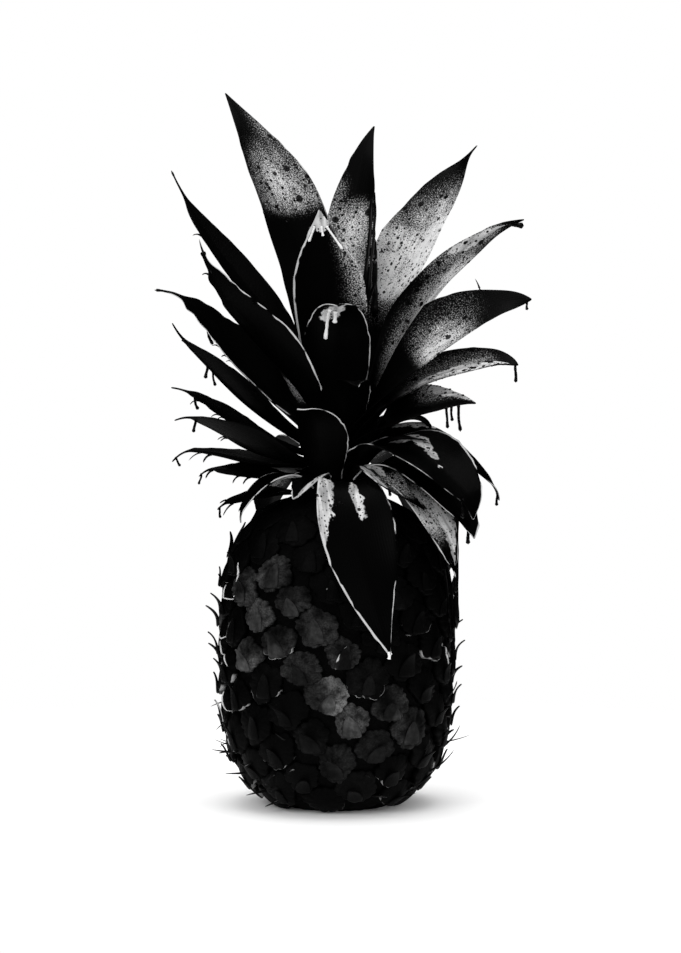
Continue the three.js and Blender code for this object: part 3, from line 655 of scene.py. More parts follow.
def lacquered_eye():
    """Pineapple rind, woody and fissured, spray-lacquered black; the paint is rubbed to dry grey on raised
    faces, and painted grey as a highlight where the fruit's front is lit.
    """
    material, tree = new_material("worn_lacquer_on_rind")
    eye = node(tree, "Attribute", attribute_name="eye").outputs["Vector"]
    worn = node(tree, "Attribute", attribute_name="worn").outputs["Fac"]
    crease = node(tree, "Attribute", attribute_name="crease").outputs["Fac"]
    lip = node(tree, "Attribute", attribute_name="lip").outputs["Fac"]

    # rubbed in blotches 5 mm across and in dry specks, which are 0.3 mm on real rind and drawn at 0.8 mm
    blotches = node(tree, "TexNoise", {"Vector": eye, "Scale": 1 / (5 * MM), "Detail": 5.0,
                                       "Roughness": 0.65})
    specks = node(tree, "TexNoise", {"Vector": eye, "Scale": 1 / (0.8 * MM), "Detail": 2.0})
    rubbed = node(tree, "MapRange", {"Value": blotches, "From Min": 0.36, "From Max": 0.64,
                                     "To Min": 0.2, "To Max": 1.3})
    dusted = node(tree, "MapRange", {"Value": specks, "From Min": 0.35, "From Max": 0.65,
                                     "To Min": 0.5, "To Max": 1.3})
    shown = node(tree, "Math", {0: rubbed, 1: dusted}, operation="MULTIPLY")
    # grey where the paint is rubbed, and a painted highlight where the fruit's front is lit
    shown = node(tree, "Math", {0: shown, 1: worn}, operation="MULTIPLY")
    raised = node(tree, "Math", {0: crease, 1: -0.7, 2: 1.0}, operation="MULTIPLY_ADD")
    shown = node(tree, "Math", {0: shown, 1: raised}, operation="MULTIPLY", use_clamp=True)
    shown = drifted_over(tree, shown, 0.38, 0.1)

    # thin broken pale lines round the lower edge of some eyes: chipped paint, and a painted highlight
    breaks = node(tree, "TexNoise", {"Vector": eye, "Scale": 1 / (6 * MM), "Detail": 1.0})
    chips = node(tree, "MapRange", {"Value": breaks, "From Min": 0.46, "From Max": 0.52})
    chipped = node(tree, "MapRange", {"Value": lip, "From Min": 0.7, "From Max": 0.95, "To Max": 0.6})
    chipped = node(tree, "Math", {0: chips, 1: chipped}, operation="MULTIPLY")
    rind = node(tree, "Mix", {0: shown, 6: linear(BLACK), 7: linear("#646464")}, data_type="RGBA")
    colour = node(tree, "Mix", {0: chipped, 6: rind.outputs[2], 7: linear("#c0c0c0")}, data_type="RGBA")
    grain = node(tree, "Bump", {"Strength": 0.6, "Distance": 0.5 * MM, "Height": blotches})
    return ended(material, colour, 0.6, DULLED, grain)


def lacquered_groove():
    """The rind between the eyes: rough, in matt black paint that was never rubbed."""
    material, tree = new_material("matt_lacquer_in_grooves")
    spot = node(tree, "TexCoord").outputs["Object"]
    rough = node(tree, "TexNoise", {"Vector": spot, "Scale": 1 / (1.6 * MM), "Detail": 4.0})
    colour = node(tree, "Mix", {0: rough, 6: linear("#010101"), 7: linear("#060606")}, data_type="RGBA")
    grain = node(tree, "Bump", {"Strength": 0.6, "Distance": 0.4 * MM, "Height": rough})
    return ended(material, colour, 0.7, DULLED, grain)


def lacquered_bract():
    """Dry papery bract under black lacquer: fine fibres along it, rubbed grey and painted grey as a highlight
    where the fruit's front is lit, its margin chipped bare.
    """
    material, tree = new_material("chipped_lacquer_on_bract")
    flap = node(tree, "Attribute", attribute_name="flap").outputs["Vector"]
    chip = node(tree, "Attribute", attribute_name="chip").outputs["Fac"]
    worn = node(tree, "Attribute", attribute_name="worn").outputs["Fac"]

    # fibres 0.7 mm apart along the bract, mottled 2.5 mm across
    fibres = node(tree, "TexWave", {"Vector": flap, "Scale": BANDS / (0.7 * MM), "Distortion": 1.5,
                                    "Detail": 2.0}, bands_direction="X").outputs["Fac"]
    mottled = node(tree, "TexNoise", {"Vector": flap, "Scale": 1 / (2.5 * MM), "Detail": 4.0})
    shown = node(tree, "MapRange", {"Value": mottled, "From Min": 0.3, "From Max": 0.7,
                                    "To Min": 0.45, "To Max": 1.15})
    fibrous = node(tree, "Math", {0: fibres, 1: 0.3, 2: 0.8}, operation="MULTIPLY_ADD")
    shown = node(tree, "Math", {0: shown, 1: fibrous}, operation="MULTIPLY")
    # grey where the paint is rubbed, and a painted highlight where the fruit's front is lit
    shown = node(tree, "Math", {0: shown, 1: worn}, operation="MULTIPLY", use_clamp=True)
    shown = drifted_over(tree, shown, 0.4, 0.12)

    # chipped in from its margin, in breaks 4 mm long
    breaks = node(tree, "TexNoise", {"Vector": flap, "Scale": 1 / (4 * MM), "Detail": 1.0})
    broken = node(tree, "Math", {0: breaks, 1: 1.6, 2: -0.8}, operation="MULTIPLY_ADD")
    chipped = node(tree, "Math", {0: chip, 1: broken}, operation="ADD")
    bare = node(tree, "MapRange", {"Value": chipped, "From Min": 0.55, "From Max": 0.75, "To Max": 0.7})
    rubbed = node(tree, "Mix", {0: shown, 6: linear(BLACK), 7: linear("#6a6a6a")}, data_type="RGBA")
    colour = node(tree, "Mix", {0: bare, 6: rubbed.outputs[2], 7: linear("#c4c4c4")}, data_type="RGBA")
    grain = node(tree, "Bump", {"Strength": 0.5, "Distance": 0.15 * MM, "Height": fibres})
    return ended(material, colour, 0.55, 0.04, grain)


def gloss_lacquer(name, low, high, specular):
    """Acrylic lacquer that ran and set as it hung: smooth, glossy, rounded by its own surface."""
    material, tree = new_material(name)
    spot = node(tree, "TexCoord").outputs["Object"]
    ripple = node(tree, "TexNoise", {"Vector": spot, "Scale": 1 / (2.5 * MM), "Detail": 1.0})
    colour = node(tree, "Mix", {0: ripple, 6: linear(low), 7: linear(high)}, data_type="RGBA")
    wave = node(tree, "Bump", {"Strength": 0.2, "Distance": 0.15 * MM, "Height": ripple})
    return ended(material, colour, 0.22, specular, wave)


def bare_rind():
    """Dry rind under chipped paint: pale grey, fibrous and matt."""
    material, tree = new_material("bare_dry_rind")
    spot = node(tree, "TexCoord").outputs["Object"]
    mottled = node(tree, "TexNoise", {"Vector": spot, "Scale": 1 / (1.2 * MM), "Detail": 3.0})
    colour = node(tree, "Mix", {0: mottled, 6: linear("#808080"), 7: linear("#e6e6e6")}, data_type="RGBA")
    grain = node(tree, "Bump", {"Strength": 0.5, "Distance": 0.2 * MM, "Height": mottled})
    return ended(material, colour, 0.8, DRY, grain)


def cut_fibre():
    """Dry cut stalk: pale brown fibre bundles end on, dotted through a darker pith, dusty with overspray."""
    material, tree = new_material("dry_cut_stalk_fibre")
    spot = node(tree, "TexCoord").outputs["Object"]
    bundles = node(tree, "TexVoronoi", {"Vector": spot, "Scale": 1 / (1.5 * MM)})
    stain = node(tree, "TexNoise", {"Vector": spot, "Scale": 1 / (7 * MM), "Detail": 4.0})
    dots = node(tree, "MapRange", {"Value": bundles, "From Min": 0.15, "From Max": 0.5})
    fibre = node(tree, "Mix", {0: dots, 6: linear("#8b7655"), 7: linear("#3e3326")}, data_type="RGBA")
    colour = node(tree, "Mix", {0: stain, 6: fibre.outputs[2], 7: linear("#15130f")}, data_type="RGBA")
    ends = node(tree, "Bump", {"Strength": 0.6, "Distance": 0.3 * MM, "Height": bundles}, invert=True)
    return ended(material, colour, 0.85, DRY, ends)


def studio_floor():
    """Pale matt floor that fades out between 0.12 m and 0.42 m from the middle of the fruit."""
    material, tree = new_material("pale_studio_floor")
    spot = node(tree, "TexCoord").outputs["Object"]
    away = node(tree, "VectorMath", {0: spot}, operation="LENGTH").outputs["Value"]
    fade = node(tree, "MapRange", {"Value": away, "From Min": 0.12, "From Max": 0.42},
                interpolation_type="SMOOTHSTEP")
    pale = node(tree, "BsdfDiffuse", {"Color": linear("#f4f4f4")})
    clear = node(tree, "BsdfTransparent")
    shader = node(tree, "MixShader", {0: fade, 1: pale, 2: clear})
    node(tree, "OutputMaterial", {"Surface": shader})
    return material


# ---- the fruit ----


def barrel_radius(height):
    """The fruit's radius at a height, before its two ends were cut."""
    share = min(1.0, abs(height - BELLY_HEIGHT) / BELLY_TO_POLE)
    return FRUIT_RADIUS * (1 - share**BARREL_POWER) ** (1 / BARREL_ROUNDING)


class Barrel:
    """The fruit's side as a line from the lower pole to the upper, measured along its own length."""

    def __init__(self):
        steps = 4000  # fine enough to measure lengths and areas by adding up
        self.height = np.linspace(BELLY_HEIGHT - BELLY_TO_POLE, BELLY_HEIGHT + BELLY_TO_POLE, steps + 1)
        self.radius = np.array([barrel_radius(h) for h in self.height])
        step = np.hypot(np.diff(self.height), np.diff(self.radius))
        self.length = np.concatenate([[0], np.cumsum(step)])
        band = (self.radius[1:] + self.radius[:-1]) * step
        self.area = np.concatenate([[0], np.cumsum(band)])

    def length_at(self, height):
        return float(np.interp(height, self.height, self.length))

    def spot(self, length, azimuth, out=0.0):
        """The point at a length along the side and an azimuth, out millimetres off the side."""
        near, radius, far = [float(np.interp(length + d, self.length, self.radius)) for d in (-1, 0, 1)]
        below, height, above = [float(np.interp(length + d, self.length, self.height)) for d in (-1, 0, 1)]
        rise = Vector((far - near, above - below)).normalized()
        r = radius + out * rise.y
        return Vector((r * math.cos(azimuth), r * math.sin(azimuth), height - out * rise.x))


def relief(height):
    """How strongly the eyes stand out at a height: flat where they crowd under the crown."""
    return mix(1.0, CROWDED_SIZE, smooth((height - CROWDED_FROM) / (CROWDED_TO - CROWDED_FROM)))


class Eye:
    """The place of one eye on the fruit: its azimuth in radians and its length along the side."""

    def __init__(self, barrel, azimuth, length):
        self.barrel = barrel
        self.azimuth = azimuth
        self.length = length
        self.middle = barrel.spot(length, azimuth)
        self.around = barrel.spot(length, 0).x  # the fruit's radius there
        self.stands = relief(self.middle.z)

    def spot(self, a, b, out):
        """The point a to the right of the middle, b above it and out off the rind, in metres."""
        found = self.barrel.spot(self.length + b, self.azimuth + a / self.around, out * self.stands)
        found.z = max(found.z, CLEARANCE)
        return found * MM


def all_eyes(barrel):
    """The eyes from the foot up, spaced round the fruit by the golden angle and each with an equal area."""
    wanted = barrel.area[-1] * (np.arange(EYE_COUNT) + 0.5) / EYE_COUNT
    lengths = np.interp(wanted, barrel.area, barrel.length)
    return [Eye(barrel, i * GOLDEN_ANGLE % FULL_TURN, float(length)) for i, length in enumerate(lengths)]


def worn_and_lit_at(point, index):
    """How grey an eye is painted, from its place and a throw of its own dice: rubbed paint, and on the
    fruit's front a painted highlight where it is lit.
    """
    most = 0.0
    for azimuth, height, reach, much in WORN_AND_LIT_PLACES:
        centre = turned(math.radians(azimuth)) * barrel_radius(height) + UP * height
        most = max(most, much * (1 - ((point - centre).length / reach) ** 2))
    return mix(0.01, 0.9, most) * random.Random(WEAR_SEED + index).choice((0.25, 0.45, 0.7, 0.9, 1.15))


def rind(barrel, eyes, material):
    """The rind under and between the eyes, with the flat cut base, the stalk's socket and the seat."""
    wall = [barrel.spot(length, 0) for length in
            np.linspace(barrel.length_at(0), barrel.length_at(SEAT_HEIGHT), RIND_ROWS)]
    bore = STALK_RADIUS + CLEARANCE
    top = STALK_DEPTH + CLEARANCE
    profile = [(0, top), (bore, top), (bore, 0)] + [(p.x, p.z) for p in wall] + [(0, SEAT_HEIGHT)]
    bm = spun(profile, RIND_STEPS)
    middles = np.array([eye.middle for eye in eyes])
    for v in bm.verts:
        wide = math.hypot(v.co.x, v.co.y)
        if wide < bore + 1 or not 0.5 < v.co.z < SEAT_HEIGHT - 0.5:
            continue  # the base, the socket and the seat stay flat
        away = np.linalg.norm(middles - np.array(v.co), axis=1)
        near, next_near = np.argsort(away)[:2]
        apart = np.linalg.norm(middles[near] - middles[next_near])
        to_groove = (away[next_near] ** 2 - away[near] ** 2) / (2 * apart)
        sunk = GROOVE_DEPTH * relief(v.co.z) * mix(1.0, 0.35, smooth(to_groove / GROOVE_BANK))
        v.co -= Vector((v.co.x / wide, v.co.y / wide, 0)) * sunk
    bmesh.ops.recalc_face_normals(bm, faces=bm.faces)
    bmesh.ops.scale(bm, vec=(MM, MM, MM), verts=bm.verts)
    return finished(bm, "rind", material, ["fruit_body"])


def face_out(a, b, size):
    """How far an eye's face stands off the rind, a to the right of its middle and b above it."""
    share = min(1.0, math.hypot(a, b) / size)
    return EYE_STAND + EYE_DOME * (1 - share**2.4) - EYE_TILT * b / size


class Face:
    """The scalloped face of one eye. x runs once round it, and its rings run from its middle to its edge
    and back under it."""

    last = len(EYE_RINGS) - 1
    edge = last - 1

    def __init__(self, index):
        dice = random.Random(index)
        self.size = EYE_RADIUS * dice.uniform(0.88, 1.1)
        self.turn = dice.uniform(0, FULL_TURN)
        self.lean = dice.uniform(-0.6, 0.6)  # how far its right side stands out over its left
        self.squash = dice.uniform(0.82, 1.0)  # height as a share of width
        # its outline swells 2, 3 and 5 times round it, each from its own angle and by its own share
        self.waves = [(k, dice.uniform(0, FULL_TURN), dice.uniform(0.03, 0.08)) for k in (2, 3, 5)]
        self.warp = dice.uniform(0, FULL_TURN)  # where its scallops are wide
        self.depths = [dice.uniform(0.07, 0.2) for _ in range(EYE_LOBES)]  # of its creases
        # whether its lower edge gets a thin pale line, chipped paint that is also a painted highlight
        self.chipped = dice.random() < 0.3

    def ring(self, y):
        """The ring that y lies on: y is 1 in the middle of the face and 0 behind it."""
        return round((1 - y) * self.last)

    def notch(self, x):
        """How deep between two scallops a place round the eye is, from 0 to 1, and that crease's depth."""
        x += 0.014 * math.sin(6 * math.pi * x + self.warp)
        depth = self.depths[round(EYE_LOBES * x - 0.5) % EYE_LOBES]
        return (1 - abs(math.cos(EYE_LOBES * math.pi * x))) ** 2, depth

    def offset(self, x, ring):
        """How far a point is to the right of the eye's middle, above it and off the rind."""
        share = EYE_RINGS[ring]
        angle = FULL_TURN * x
        into, depth = self.notch(x)
        swell = sum(much * math.sin(k * angle + phase) for k, phase, much in self.waves)
        reach = self.size * share * (1 + swell * share - depth * into * share**2)
        a = reach * math.cos(angle + self.turn)
        b = reach * math.sin(angle + self.turn) * self.squash
        out = face_out(a, b, self.size) + self.lean * a / self.size - 5 * depth * into * share**2
        if ring >= self.edge:
            out -= EYE_SKIRT + (ring - self.edge) * EYE_DOME
        return a, b, out


def eye_faces(eyes, material):
    """The scalloped faces of the eyes, laid like shingles: each lower edge stands over the eye below."""
    bm = bmesh.new()
    eye_layer, worn_and_lit_layer, crease_layer, highlit_lip_layer = layers(bm, "eye", "worn", "crease", "lip")
    for index, eye in enumerate(eyes):
        if not 4 < eye.middle.z < SEAT_HEIGHT - 3:
            continue  # the cuts at the base and the seat took these
        face = Face(index)
        # its grey: rubbed paint, and on the fruit's front a painted highlight where it is lit
        worn = worn_and_lit_at(eye.middle, index)
        lip = 1.0 if face.chipped and eye.middle.z < CROWDED_FROM else 0.0

        def place(x, y):
            return eye.spot(*face.offset(x, face.ring(y)))

        for v, x, y in lay(bm, 4 * EYE_LOBES, face.last, place):
            ring = face.ring(y)
            share = EYE_RINGS[ring]
            angle = FULL_TURN * x + face.turn
            low = 0.5 - 0.5 * math.sin(angle)
            into, depth = face.notch(x)
            v[eye_layer] = Vector((math.cos(angle), math.sin(angle), 0)) * face.size * share * MM
            v[eye_layer].z = index * 0.1  # sets each eye's pattern apart
            v[worn_and_lit_layer] = worn * mix(0.75, 1.0, low * share) * (1.0 if ring < face.edge else 0.3)
            v[crease_layer] = into * share**1.5 * min(1.0, depth / 0.12)
            v[highlit_lip_layer] = lip * smooth((share - 0.91) / 0.07) * smooth(low * 2.4 - 0.9)
    return finished(bm, "eye_faces", material, ["fruit_body"])


def bracts(eyes, material):
    """One pointed bract on each eye: a papery flap that lies up the face and curls out at its tip."""
    bm = bmesh.new()
    flap_layer, chip_layer, worn_and_lit_layer = layers(bm, "flap", "chip", "worn")
    for index, eye in enumerate(eyes):
        if not 8 < eye.middle.z < SEAT_HEIGHT - 10:
            continue  # too close to a cut
        dice = random.Random(BRACT_SEED + index)
        half = dice.uniform(3.4, 5.2)
        long = dice.uniform(10.0, 15.0)
        # how far its tip stands out: half of them lie close to the face
        curl = dice.uniform(1.5, 4.0) if dice.random() < 0.5 else dice.uniform(5.0, 8.5)
        side = dice.uniform(-4.5, 4.5)  # how far its tip leans to one side
        to_left = 0.5 - 0.5 * math.cos(eye.azimuth)  # bracts towards the left curl further out and are chipped pale more often
        curl *= mix(0.8, 1.05, to_left**2)
        chipped = dice.choice((0.0, 0.0, 0.0, 0.1, 0.35, 0.9)) * mix(0.5, 1.0, to_left)
        chipped_side = dice.choice((-1, 1))
        # its grey: rubbed paint, and on the fruit's front a painted highlight where it is lit
        worn = worn_and_lit_at(eye.middle, index) * dice.choice((0.5, 0.8, 1.0, 1.5))
        if eye.middle.z > CROWDED_FROM:
            chipped = 0.0

        def place(x, y):
            share = 2 * x - 1
            a = share * half * (1 - y**2.1) + side * y**1.5
            b = BRACT_ROOT * EYE_RADIUS + long * y * (1 - 0.1 * y * y)
            keel = 0.8 * (1 - abs(share)) * (1 - y)
            return eye.spot(a, b, face_out(a, b, EYE_RADIUS) + 0.3 + keel + curl * y**2.8)

        for v, x, y in lay(bm, BRACT_ACROSS, BRACT_ALONG, place):
            share = 2 * x - 1
            v[flap_layer] = Vector((share * half, long * y, index * 20)) * MM
            v[chip_layer] = chipped * max(0.0, share * chipped_side) ** 5
            v[worn_and_lit_layer] = worn
    piece = finished(bm, "bracts", material, ["fruit_body"])
    thickened(piece, BRACT_THICKNESS)


def basal_bracts(material):
    """The longer dry bracts at the foot of the fruit, and three finer fibres near each."""
    bm = bmesh.new()
    flap_layer, chip_layer, worn_and_lit_layer = layers(bm, "flap", "chip", "worn")
    dice = random.Random("foot")
    rows = [(*row, 1.0) for row in BASAL_BRACTS]
    for azimuth, height, length, slope in BASAL_BRACTS:
        for _ in range(3):
            rows.append((azimuth + dice.uniform(-26, 26), height + dice.uniform(-3, 34),
                         length * dice.uniform(0.5, 0.8), slope + dice.uniform(-20, 30), 0.4))
    for azimuth, height, length, slope, stout in rows:
        height = max(6.0, height)
        root = barrel_radius(height) - BASAL_ROOT
        out = turned(math.radians(azimuth))
        beside = UP.cross(out)
        bend = dice.uniform(-2.5, 2.5)
        points = []
        radii = []
        for i in range(BASAL_STEPS + 1):
            u = i / BASAL_STEPS
            lean = math.radians(slope) * (0.3 + 0.9 * u)
            along = (BASAL_ROOT + length) * u
            spot = out * (root + along * math.cos(lean)) + UP * (height + along * math.sin(lean))
            points.append((spot + beside * bend * u**2) * MM)
            wide = mix(BASAL_RADIUS, BASAL_TIP_RADIUS, u**0.8) * stout**0.5
            radii.append(0.0 if u in (0, 1) else wide * MM)
        for v, x, y in lay_tube(bm, points, radii, flatness=0.4):
            v[flap_layer] = Vector((x * 8 * MM, y * length * MM, azimuth * MM))
            v[chip_layer] = 0.3
            v[worn_and_lit_layer] = 0.1
    finished(bm, "basal_bracts", material, ["fruit_body"])


# ---- the crown ----


def all_leaves():
    """The leaves from the outside in, which is the order of TIERS, each with its base on the stem."""
    rows = []
    for tier, fullest, leaves in TIERS:
        for place, azimuth, tip, slope, width, more in leaves:
            level = len(rows)
            base = (OUTER_RADIUS - RADIUS_PER_LEVEL * level, OUTER_HEIGHT + HEIGHT_PER_LEVEL * level)
            name = f"{tier}_leaf_{place}"
            rows.append(Leaf(name, base, fullest, azimuth, tip, slope, width, **more))
    return rows


def blade_width(leaf, u):
    """A leaf's whole width at a share along it."""
    if u < leaf.fullest:
        return leaf.width * mix(BASE_SHARE, 1.0, smooth(u / leaf.fullest))
    beyond = (u - leaf.fullest) / (1 - leaf.fullest)
    return TIP_WIDTH + (leaf.width - TIP_WIDTH) * max(0.0, math.cos(beyond * math.pi / 2)) ** leaf.taper


class Blade:
    """The middle surface of a leaf, as points in metres for a share along (0 to 1) and across (-1 to 1)."""

    def __init__(self, leaf, level):
        self.leaf = leaf
        self.level = level
        start = np.array(leaf.base, float)
        end = np.array(leaf.tip, float)
        pull = PULL * np.linalg.norm(end - start)
        slopes = [np.array([math.cos(math.radians(s)), math.sin(math.radians(s))]) for s in leaf.slope]
        self.controls = (start, start + slopes[0] * pull, end - slopes[1] * pull, end)
        self.steps = np.linspace(0, 1, 201)  # where its line is measured
        line = np.array([self.bezier(t)[0] for t in self.steps])
        gaps = np.linalg.norm(np.diff(line, axis=0), axis=1)
        self.lengths = np.concatenate([[0], np.cumsum(gaps)])
        self.length = self.lengths[-1]
        self.frames = {}
        dice = random.Random(leaf.name)
        self.phase = dice.uniform(0, FULL_TURN)
        self.ripple = dice.uniform(0.25, 0.7)  # height of the ripples in its margins
        self.waves = self.length / dice.uniform(38, 60)  # how many ripples it has
        self.twist = dice.uniform(-35, 35)  # degrees, at its tip

    def bezier(self, t):
        """The point on the leaf's line at t, as distance from the axis and height, and its heading."""
        a, b, c, d = self.controls
        s = 1 - t
        point = a * s**3 + b * 3 * s * s * t + c * 3 * s * t * t + d * t**3
        heading = (b - a) * 3 * s * s + (c - b) * 6 * s * t + (d - c) * 3 * t * t
        return point, heading / np.linalg.norm(heading)

    def azimuth(self, u):
        """The way its line faces from the axis, in radians: it swings round as it goes."""
        return math.radians(self.leaf.azimuth + self.leaf.swing * u * u)

    def centre(self, u):
        u = min(1.0, max(0.0, u))
        t = float(np.interp(u * self.length, self.lengths, self.steps))
        (r, z), (dr, dz) = self.bezier(t)
        curled = self.leaf.curl * max(0.0, (u - CURL_FROM) / (1 - CURL_FROM)) ** 2
        return turned(self.azimuth(u)) * (r + dz * curled) + UP * (z - dr * curled)

    def frame_at(self, u):
        """The blade's centre, and its directions across, inward and ahead, at a share along."""
        key = round(u, 5)
        if key not in self.frames:
            ahead = (self.centre(u + 0.01) - self.centre(u - 0.01)).normalized()
            level = Vector((-math.sin(self.azimuth(u)), math.cos(self.azimuth(u)), 0))
            inward = ahead.cross(level).normalized()
            across = inward.cross(ahead).normalized()
            tip_turn = self.twist * smooth((u - CURL_FROM) / (1 - CURL_FROM))
            spin = Quaternion(ahead, math.radians(self.leaf.roll * smooth(u / ROLLED_BY) + tip_turn))
            self.frames[key] = (self.centre(u), spin @ across, spin @ inward, ahead)
        return self.frames[key]

    def gutter(self, u):
        """The radius of the blade's curved section."""
        return mix(self.leaf.base[0], max(LEAST_GUTTER, self.leaf.width), smooth(u / OPEN_BY))

    def half_width(self, u):
        return min(blade_width(self.leaf, u) / 2, CLASP * self.gutter(u))

    def spot(self, u, share, out=0.0):
        """A point of the blade, out millimetres off its outer face."""
        centre, across, inward, _ = self.frame_at(u)
        gutter = self.gutter(u)
        bend = share * self.half_width(u) / gutter
        body = math.sin(math.pi * u)
        wave = self.ripple * math.sin(FULL_TURN * self.waves * u + self.phase + share) * share**2 * body
        keel = -KEEL * math.exp(-((share / KEEL_WIDTH) ** 2)) * body
        lift = gutter * (1 - math.cos(bend)) + wave + keel - out
        return (centre + across * (gutter * math.sin(bend)) + inward * lift) * MM


def pale_zone_share(leaf, u, share):
    """How much of a leaf's pale ground shows through at a point, which is painted highlight as well as bare
    ground, before the droplets break it up.
    """
    most = 0.0
    for start, full, fading, end, across, reach, strength in PALE_ZONES.get(leaf.name, ()):
        along = smooth((u - start) / (full - start)) * smooth((end - u) / (end - fading))
        most = max(most, strength * along * math.exp(-(((share - across) / reach) ** 2)))
    return most


def inside_pale_patch(leaf, u, share):
    """How far inside one of a leaf's pale patches a point lies: 1 in its middle and 0.5 at its edge."""
    most = 0.0
    for start, end, first, last, reach in PALE_PATCHES.get(leaf.name, ()):
        along = (u - start) / (end - start)
        if 0 < along < 1:
            wide = reach * math.sin(math.pi * along) ** 0.6
            off = abs(share - mix(first, last, along)) / wide
            most = max(most, 1 - 0.5 * off)
    return most


def thickness_at(u, share):
    """A leaf's thickness as a share of BASE_THICKNESS: it thins towards its tip and its margins."""
    return mix(1.0, 0.4, u) * (1 - 0.65 * share * share)


def lower_side(leaf):
    """Which margin of a leaf on the left hangs lower, from the way that it is rolled."""
    return -1 if leaf.roll > 0 else 1


def kept_width(blade, u, side):
    """How much of its width a dry leaf keeps on one side: its outer half has torn and its tip shrivelled."""
    rough = noise.noise(Vector((u * blade.length / TEAR_LENGTH, 9 * side, 3.7 * blade.level)))
    lost = blade.leaf.torn * smooth((u - TORN_FROM) / 0.35) * max(0.0, rough + 0.15)
    if side != lower_side(blade.leaf):
        lost *= UPPER_TEARS
    shrivelled = min(1.0, 2 * blade.leaf.torn) * smooth((u - SHRIVELLED_FROM) / 0.07)
    return max(LEAST_KEPT, 1 - 1.3 * lost) * mix(1.0, SHRIVELLED_TO, shrivelled)


def margin_nicks(leaf):
    """How far out each row of faces reaches past a leaf's two margins: a few are nicked or toothed."""
    dice = random.Random(leaf.name + "margin")
    nicks = {}
    for row in range(2, BLADE_ALONG - 2):
        for side in (-1, 1):
            nicks[row, side] = dice.choice((0.5, 0.8, -0.6)) if dice.random() < NICKED else 0.0
    return nicks


def leaf_piece(blade, material):
    """One leaf: a blade with nicks and teeth in its margins, thick at the base and thin at the edges."""
    leaf = blade.leaf
    nicks = margin_nicks(leaf)
    rim_highlights = RIM_HIGHLIGHTS.get(leaf.name, (0.0, 0.0))
    bm = bmesh.new()
    blade_layer, pale_zone_layer, pale_patch_layer, rim_highlight_layer, edge_layer = layers(
        bm, "blade", "spray", "bared", "rim", "edge")

    def place(x, y):
        share = 2 * x - 1
        nick = nicks.get((round(y * BLADE_ALONG), round(share)), 0.0) if abs(share) > 0.99 else 0.0
        half = max(1.0, blade.half_width(y))
        kept = kept_width(blade, y, 1 if share > 0 else -1)
        return blade.spot(y, share * kept * max(0.3, 1 + nick / half))

    thicknesses = []
    for v, x, y in lay(bm, BLADE_ACROSS, BLADE_ALONG, place):
        share = 2 * x - 1
        half = blade.half_width(y)
        v[blade_layer] = Vector((share * half + PATTERN_STEP * blade.level, blade.length * y, 0)) * MM
        # pale zones, which are painted highlights as well as bare ground
        v[pale_zone_layer] = pale_zone_share(leaf, y, share)
        # hard-edged pale patches, some of them painted highlights
        v[pale_patch_layer] = inside_pale_patch(leaf, y, share)
        # how far the painted highlight reaches in from each margin
        v[rim_highlight_layer] = rim_highlights[0] if share < 0 else rim_highlights[1]
        v[edge_layer] = half * (1 - abs(share))
        thicknesses.append(thickness_at(y, share))
    piece = finished(bm, leaf.name.replace("_leaf_", "_blade_"), material, [leaf.name], merge=0)
    group = piece.vertex_groups.new(name="thickness")
    for i, thickness in enumerate(thicknesses):
        group.add([i], thickness, "REPLACE")
    thickened(piece, BASE_THICKNESS).vertex_group = group.name


def splinters(blades, material):
    """Dry fibres torn loose along the ragged margins of the leaves on the left, and one on the right."""
    bm = bmesh.new()
    (blade_layer,) = layers(bm, "blade")
    dice = random.Random("splinters")
    rows = [("rising_leaf_right", 0.8, 1, 4.0, 1.2, 90, 1.5)]
    for blade in blades.values():
        for _ in range(round(3 * blade.leaf.torn)):
            side = lower_side(blade.leaf) * dice.choice((1, 1, 1, -1))
            rows.append((blade.leaf.name, dice.uniform(0.45, 0.9), side,
                         dice.uniform(4.0, 8.0), dice.uniform(0.9, 1.6), dice.uniform(12, 40), -0.5))
    for name, u, side, length, stout, away, rise in rows:
        blade = blades[name]
        _, across, _, ahead = blade.frame_at(u)
        root = blade.spot(u, side * 0.8 * kept_width(blade, u, side))
        points = []
        radii = []
        for i in range(SPLINTER_STEPS + 1):
            share = i / SPLINTER_STEPS
            turn = math.radians(away) * mix(0.5, 1.3, share)
            heading = ahead * math.cos(turn) + across * (side * math.sin(turn)) + UP * rise * share
            points.append(root + heading * length * share * MM)
            radii.append(0.0 if share in (0, 1) else stout * (1 - 0.75 * share) * MM)
        for v, _, _ in lay_tube(bm, points, radii, flatness=0.45, sides=6):
            v[blade_layer] = v.co
    finished(bm, "splinters", material)


def crown_stem(leaves, material):
    """The stem of the crown: a tapering core ringed with the scars of old leaves."""
    gap = BASE_THICKNESS / 2 + 2 * CLEARANCE
    (low_radius, low), (high_radius, high) = leaves[0].base, leaves[-1].base
    foot = SEAT_HEIGHT + CLEARANCE
    profile = [(0, foot), (low_radius - gap, foot)]
    for i in range(STEM_RINGS + 1):
        share = i / STEM_RINGS
        scar = SCAR_DEPTH * (i % 2)
        profile.append((mix(low_radius, high_radius, share) - gap - scar, mix(low, high, share)))
    profile.append((0, high + 4))
    bm = spun(profile, STEM_STEPS, MM)
    bmesh.ops.recalc_face_normals(bm, faces=bm.faces)
    finished(bm, "scarred_stem", material, ["crown_stem"])


# ---- paint runs ----

